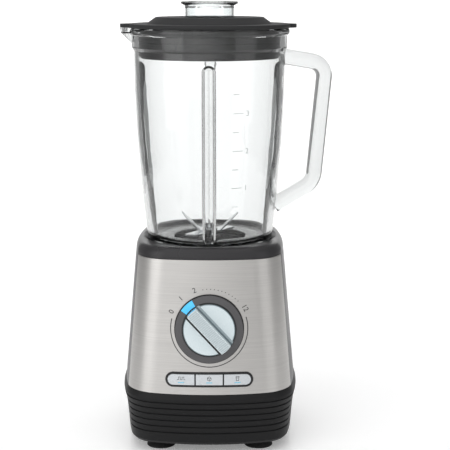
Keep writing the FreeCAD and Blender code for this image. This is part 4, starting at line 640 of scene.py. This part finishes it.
# levels pressed into the glass to the right of the front flute, and frosted
MARK_BEARING = np.radians(-71.0)
MARK_FOOT = 0.222
MARK_STEP = 0.0165
MARK_COUNT = 7
LONG_MARK = 0.0095
SHORT_MARK = 0.0055
MARK_HALF_WIDTH = 0.0003
MARK_FIGURE_HEIGHT = 0.0050
MARK_FIGURE_ACROSS = 0.0135
GLASS_MARK = 0.00009
points = np.zeros(len(nodes["jar"].data.vertices) * 3)
nodes["jar"].data.vertices.foreach_get("co", points)
points = points.reshape(-1, 3)
front = points[np.abs(np.arctan2(points[:, 1], points[:, 0]) - MARK_BEARING) < 0.3]
heights = np.round(front[:, 2], 4)
levels = np.unique(heights)
outer = np.array([np.hypot(front[heights == level, 0], front[heights == level, 1]).max() for level in levels])
wall = outer > outer.max() * 0.8
levels, outer = levels[wall], outer[wall]


def onto_glass(across, up):
    """Points on the jar's outer face: across is the way round it from the marks' bearing, up is z. The
    radius at each height is read between the levels of the glass."""
    radius = np.interp(up, levels, outer) + GLASS_MARK
    angle = MARK_BEARING + across / radius
    return np.stack([radius * np.cos(angle), radius * np.sin(angle), up], axis=-1)


frosting = moulded("glass, acid frosted", "#D9DDDD", "#E6E9E9", 0.2, 0.002, 0.6, 0.7, 0.4)
frosting.node_tree.nodes["Principled BSDF"].inputs["Transmission Weight"].default_value = 0.5
for number in range(1, MARK_COUNT + 1):
    z = MARK_FOOT + MARK_STEP * (number - 1)
    length = LONG_MARK if number % 2 == 0 else SHORT_MARK
    along = np.broadcast_to(np.linspace(0.0, length, 12)[None, :], (2, 12))
    rise = np.broadcast_to(z + np.array([-MARK_HALF_WIDTH, MARK_HALF_WIDTH])[:, None], (2, 12))
    marks = [surface_mesh(f"level_line_{number}", onto_glass(along, rise))]
    if number % 2 == 0:
        flat, faces = figure_outline(str(number // 2), MARK_FIGURE_HEIGHT)
        place_on_glass = onto_glass(flat[:, 0] + MARK_FIGURE_ACROSS, flat[:, 1] + z)
        marks.append(mesh_from(f"level_figure_{number // 2}", place_on_glass, faces))
    for mark in marks:
        mark.data.materials.append(frosting)
        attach(mark, "jar")

# ---------------------------------------------------------------- lid
# Soft charcoal elastomer with sealing bands on the plug that goes into the jar. It is moulded
# matt, so the light spreads widely over it.
lid_rubber = moulded("soft elastomer, charcoal, matt", "#29292A", "#2F2F30", 0.6, 0.012, 0.60, 0.70, 0.25)
finish(lid_rubber, "lid")

# ---------------------------------------------------------------- measuring cap
# Clear styrene cup, turned mouth down in the lid.
cap_plastic, tree, shader = new_material("styrene acrylonitrile, clear")
place = add(tree, "ShaderNodeTexCoord")
waves = add(tree, "ShaderNodeTexNoise", {"Scale": 60.0, "Detail": 1.0}, {"Vector": (place, "Object")})
bump = add(tree, "ShaderNodeBump", {"Strength": 0.3, "Distance": 0.0003}, {"Height": (waves, 0)})
tree.links.new(bump.outputs[0], shader.inputs["Normal"])
shader.inputs["Base Color"].default_value = hex_colour("#F1F4F4")
shader.inputs["Transmission Weight"].default_value = 1.0
shader.inputs["Roughness"].default_value = 0.03
shader.inputs["IOR"].default_value = 1.5
finish(cap_plastic, "measuring_cap")
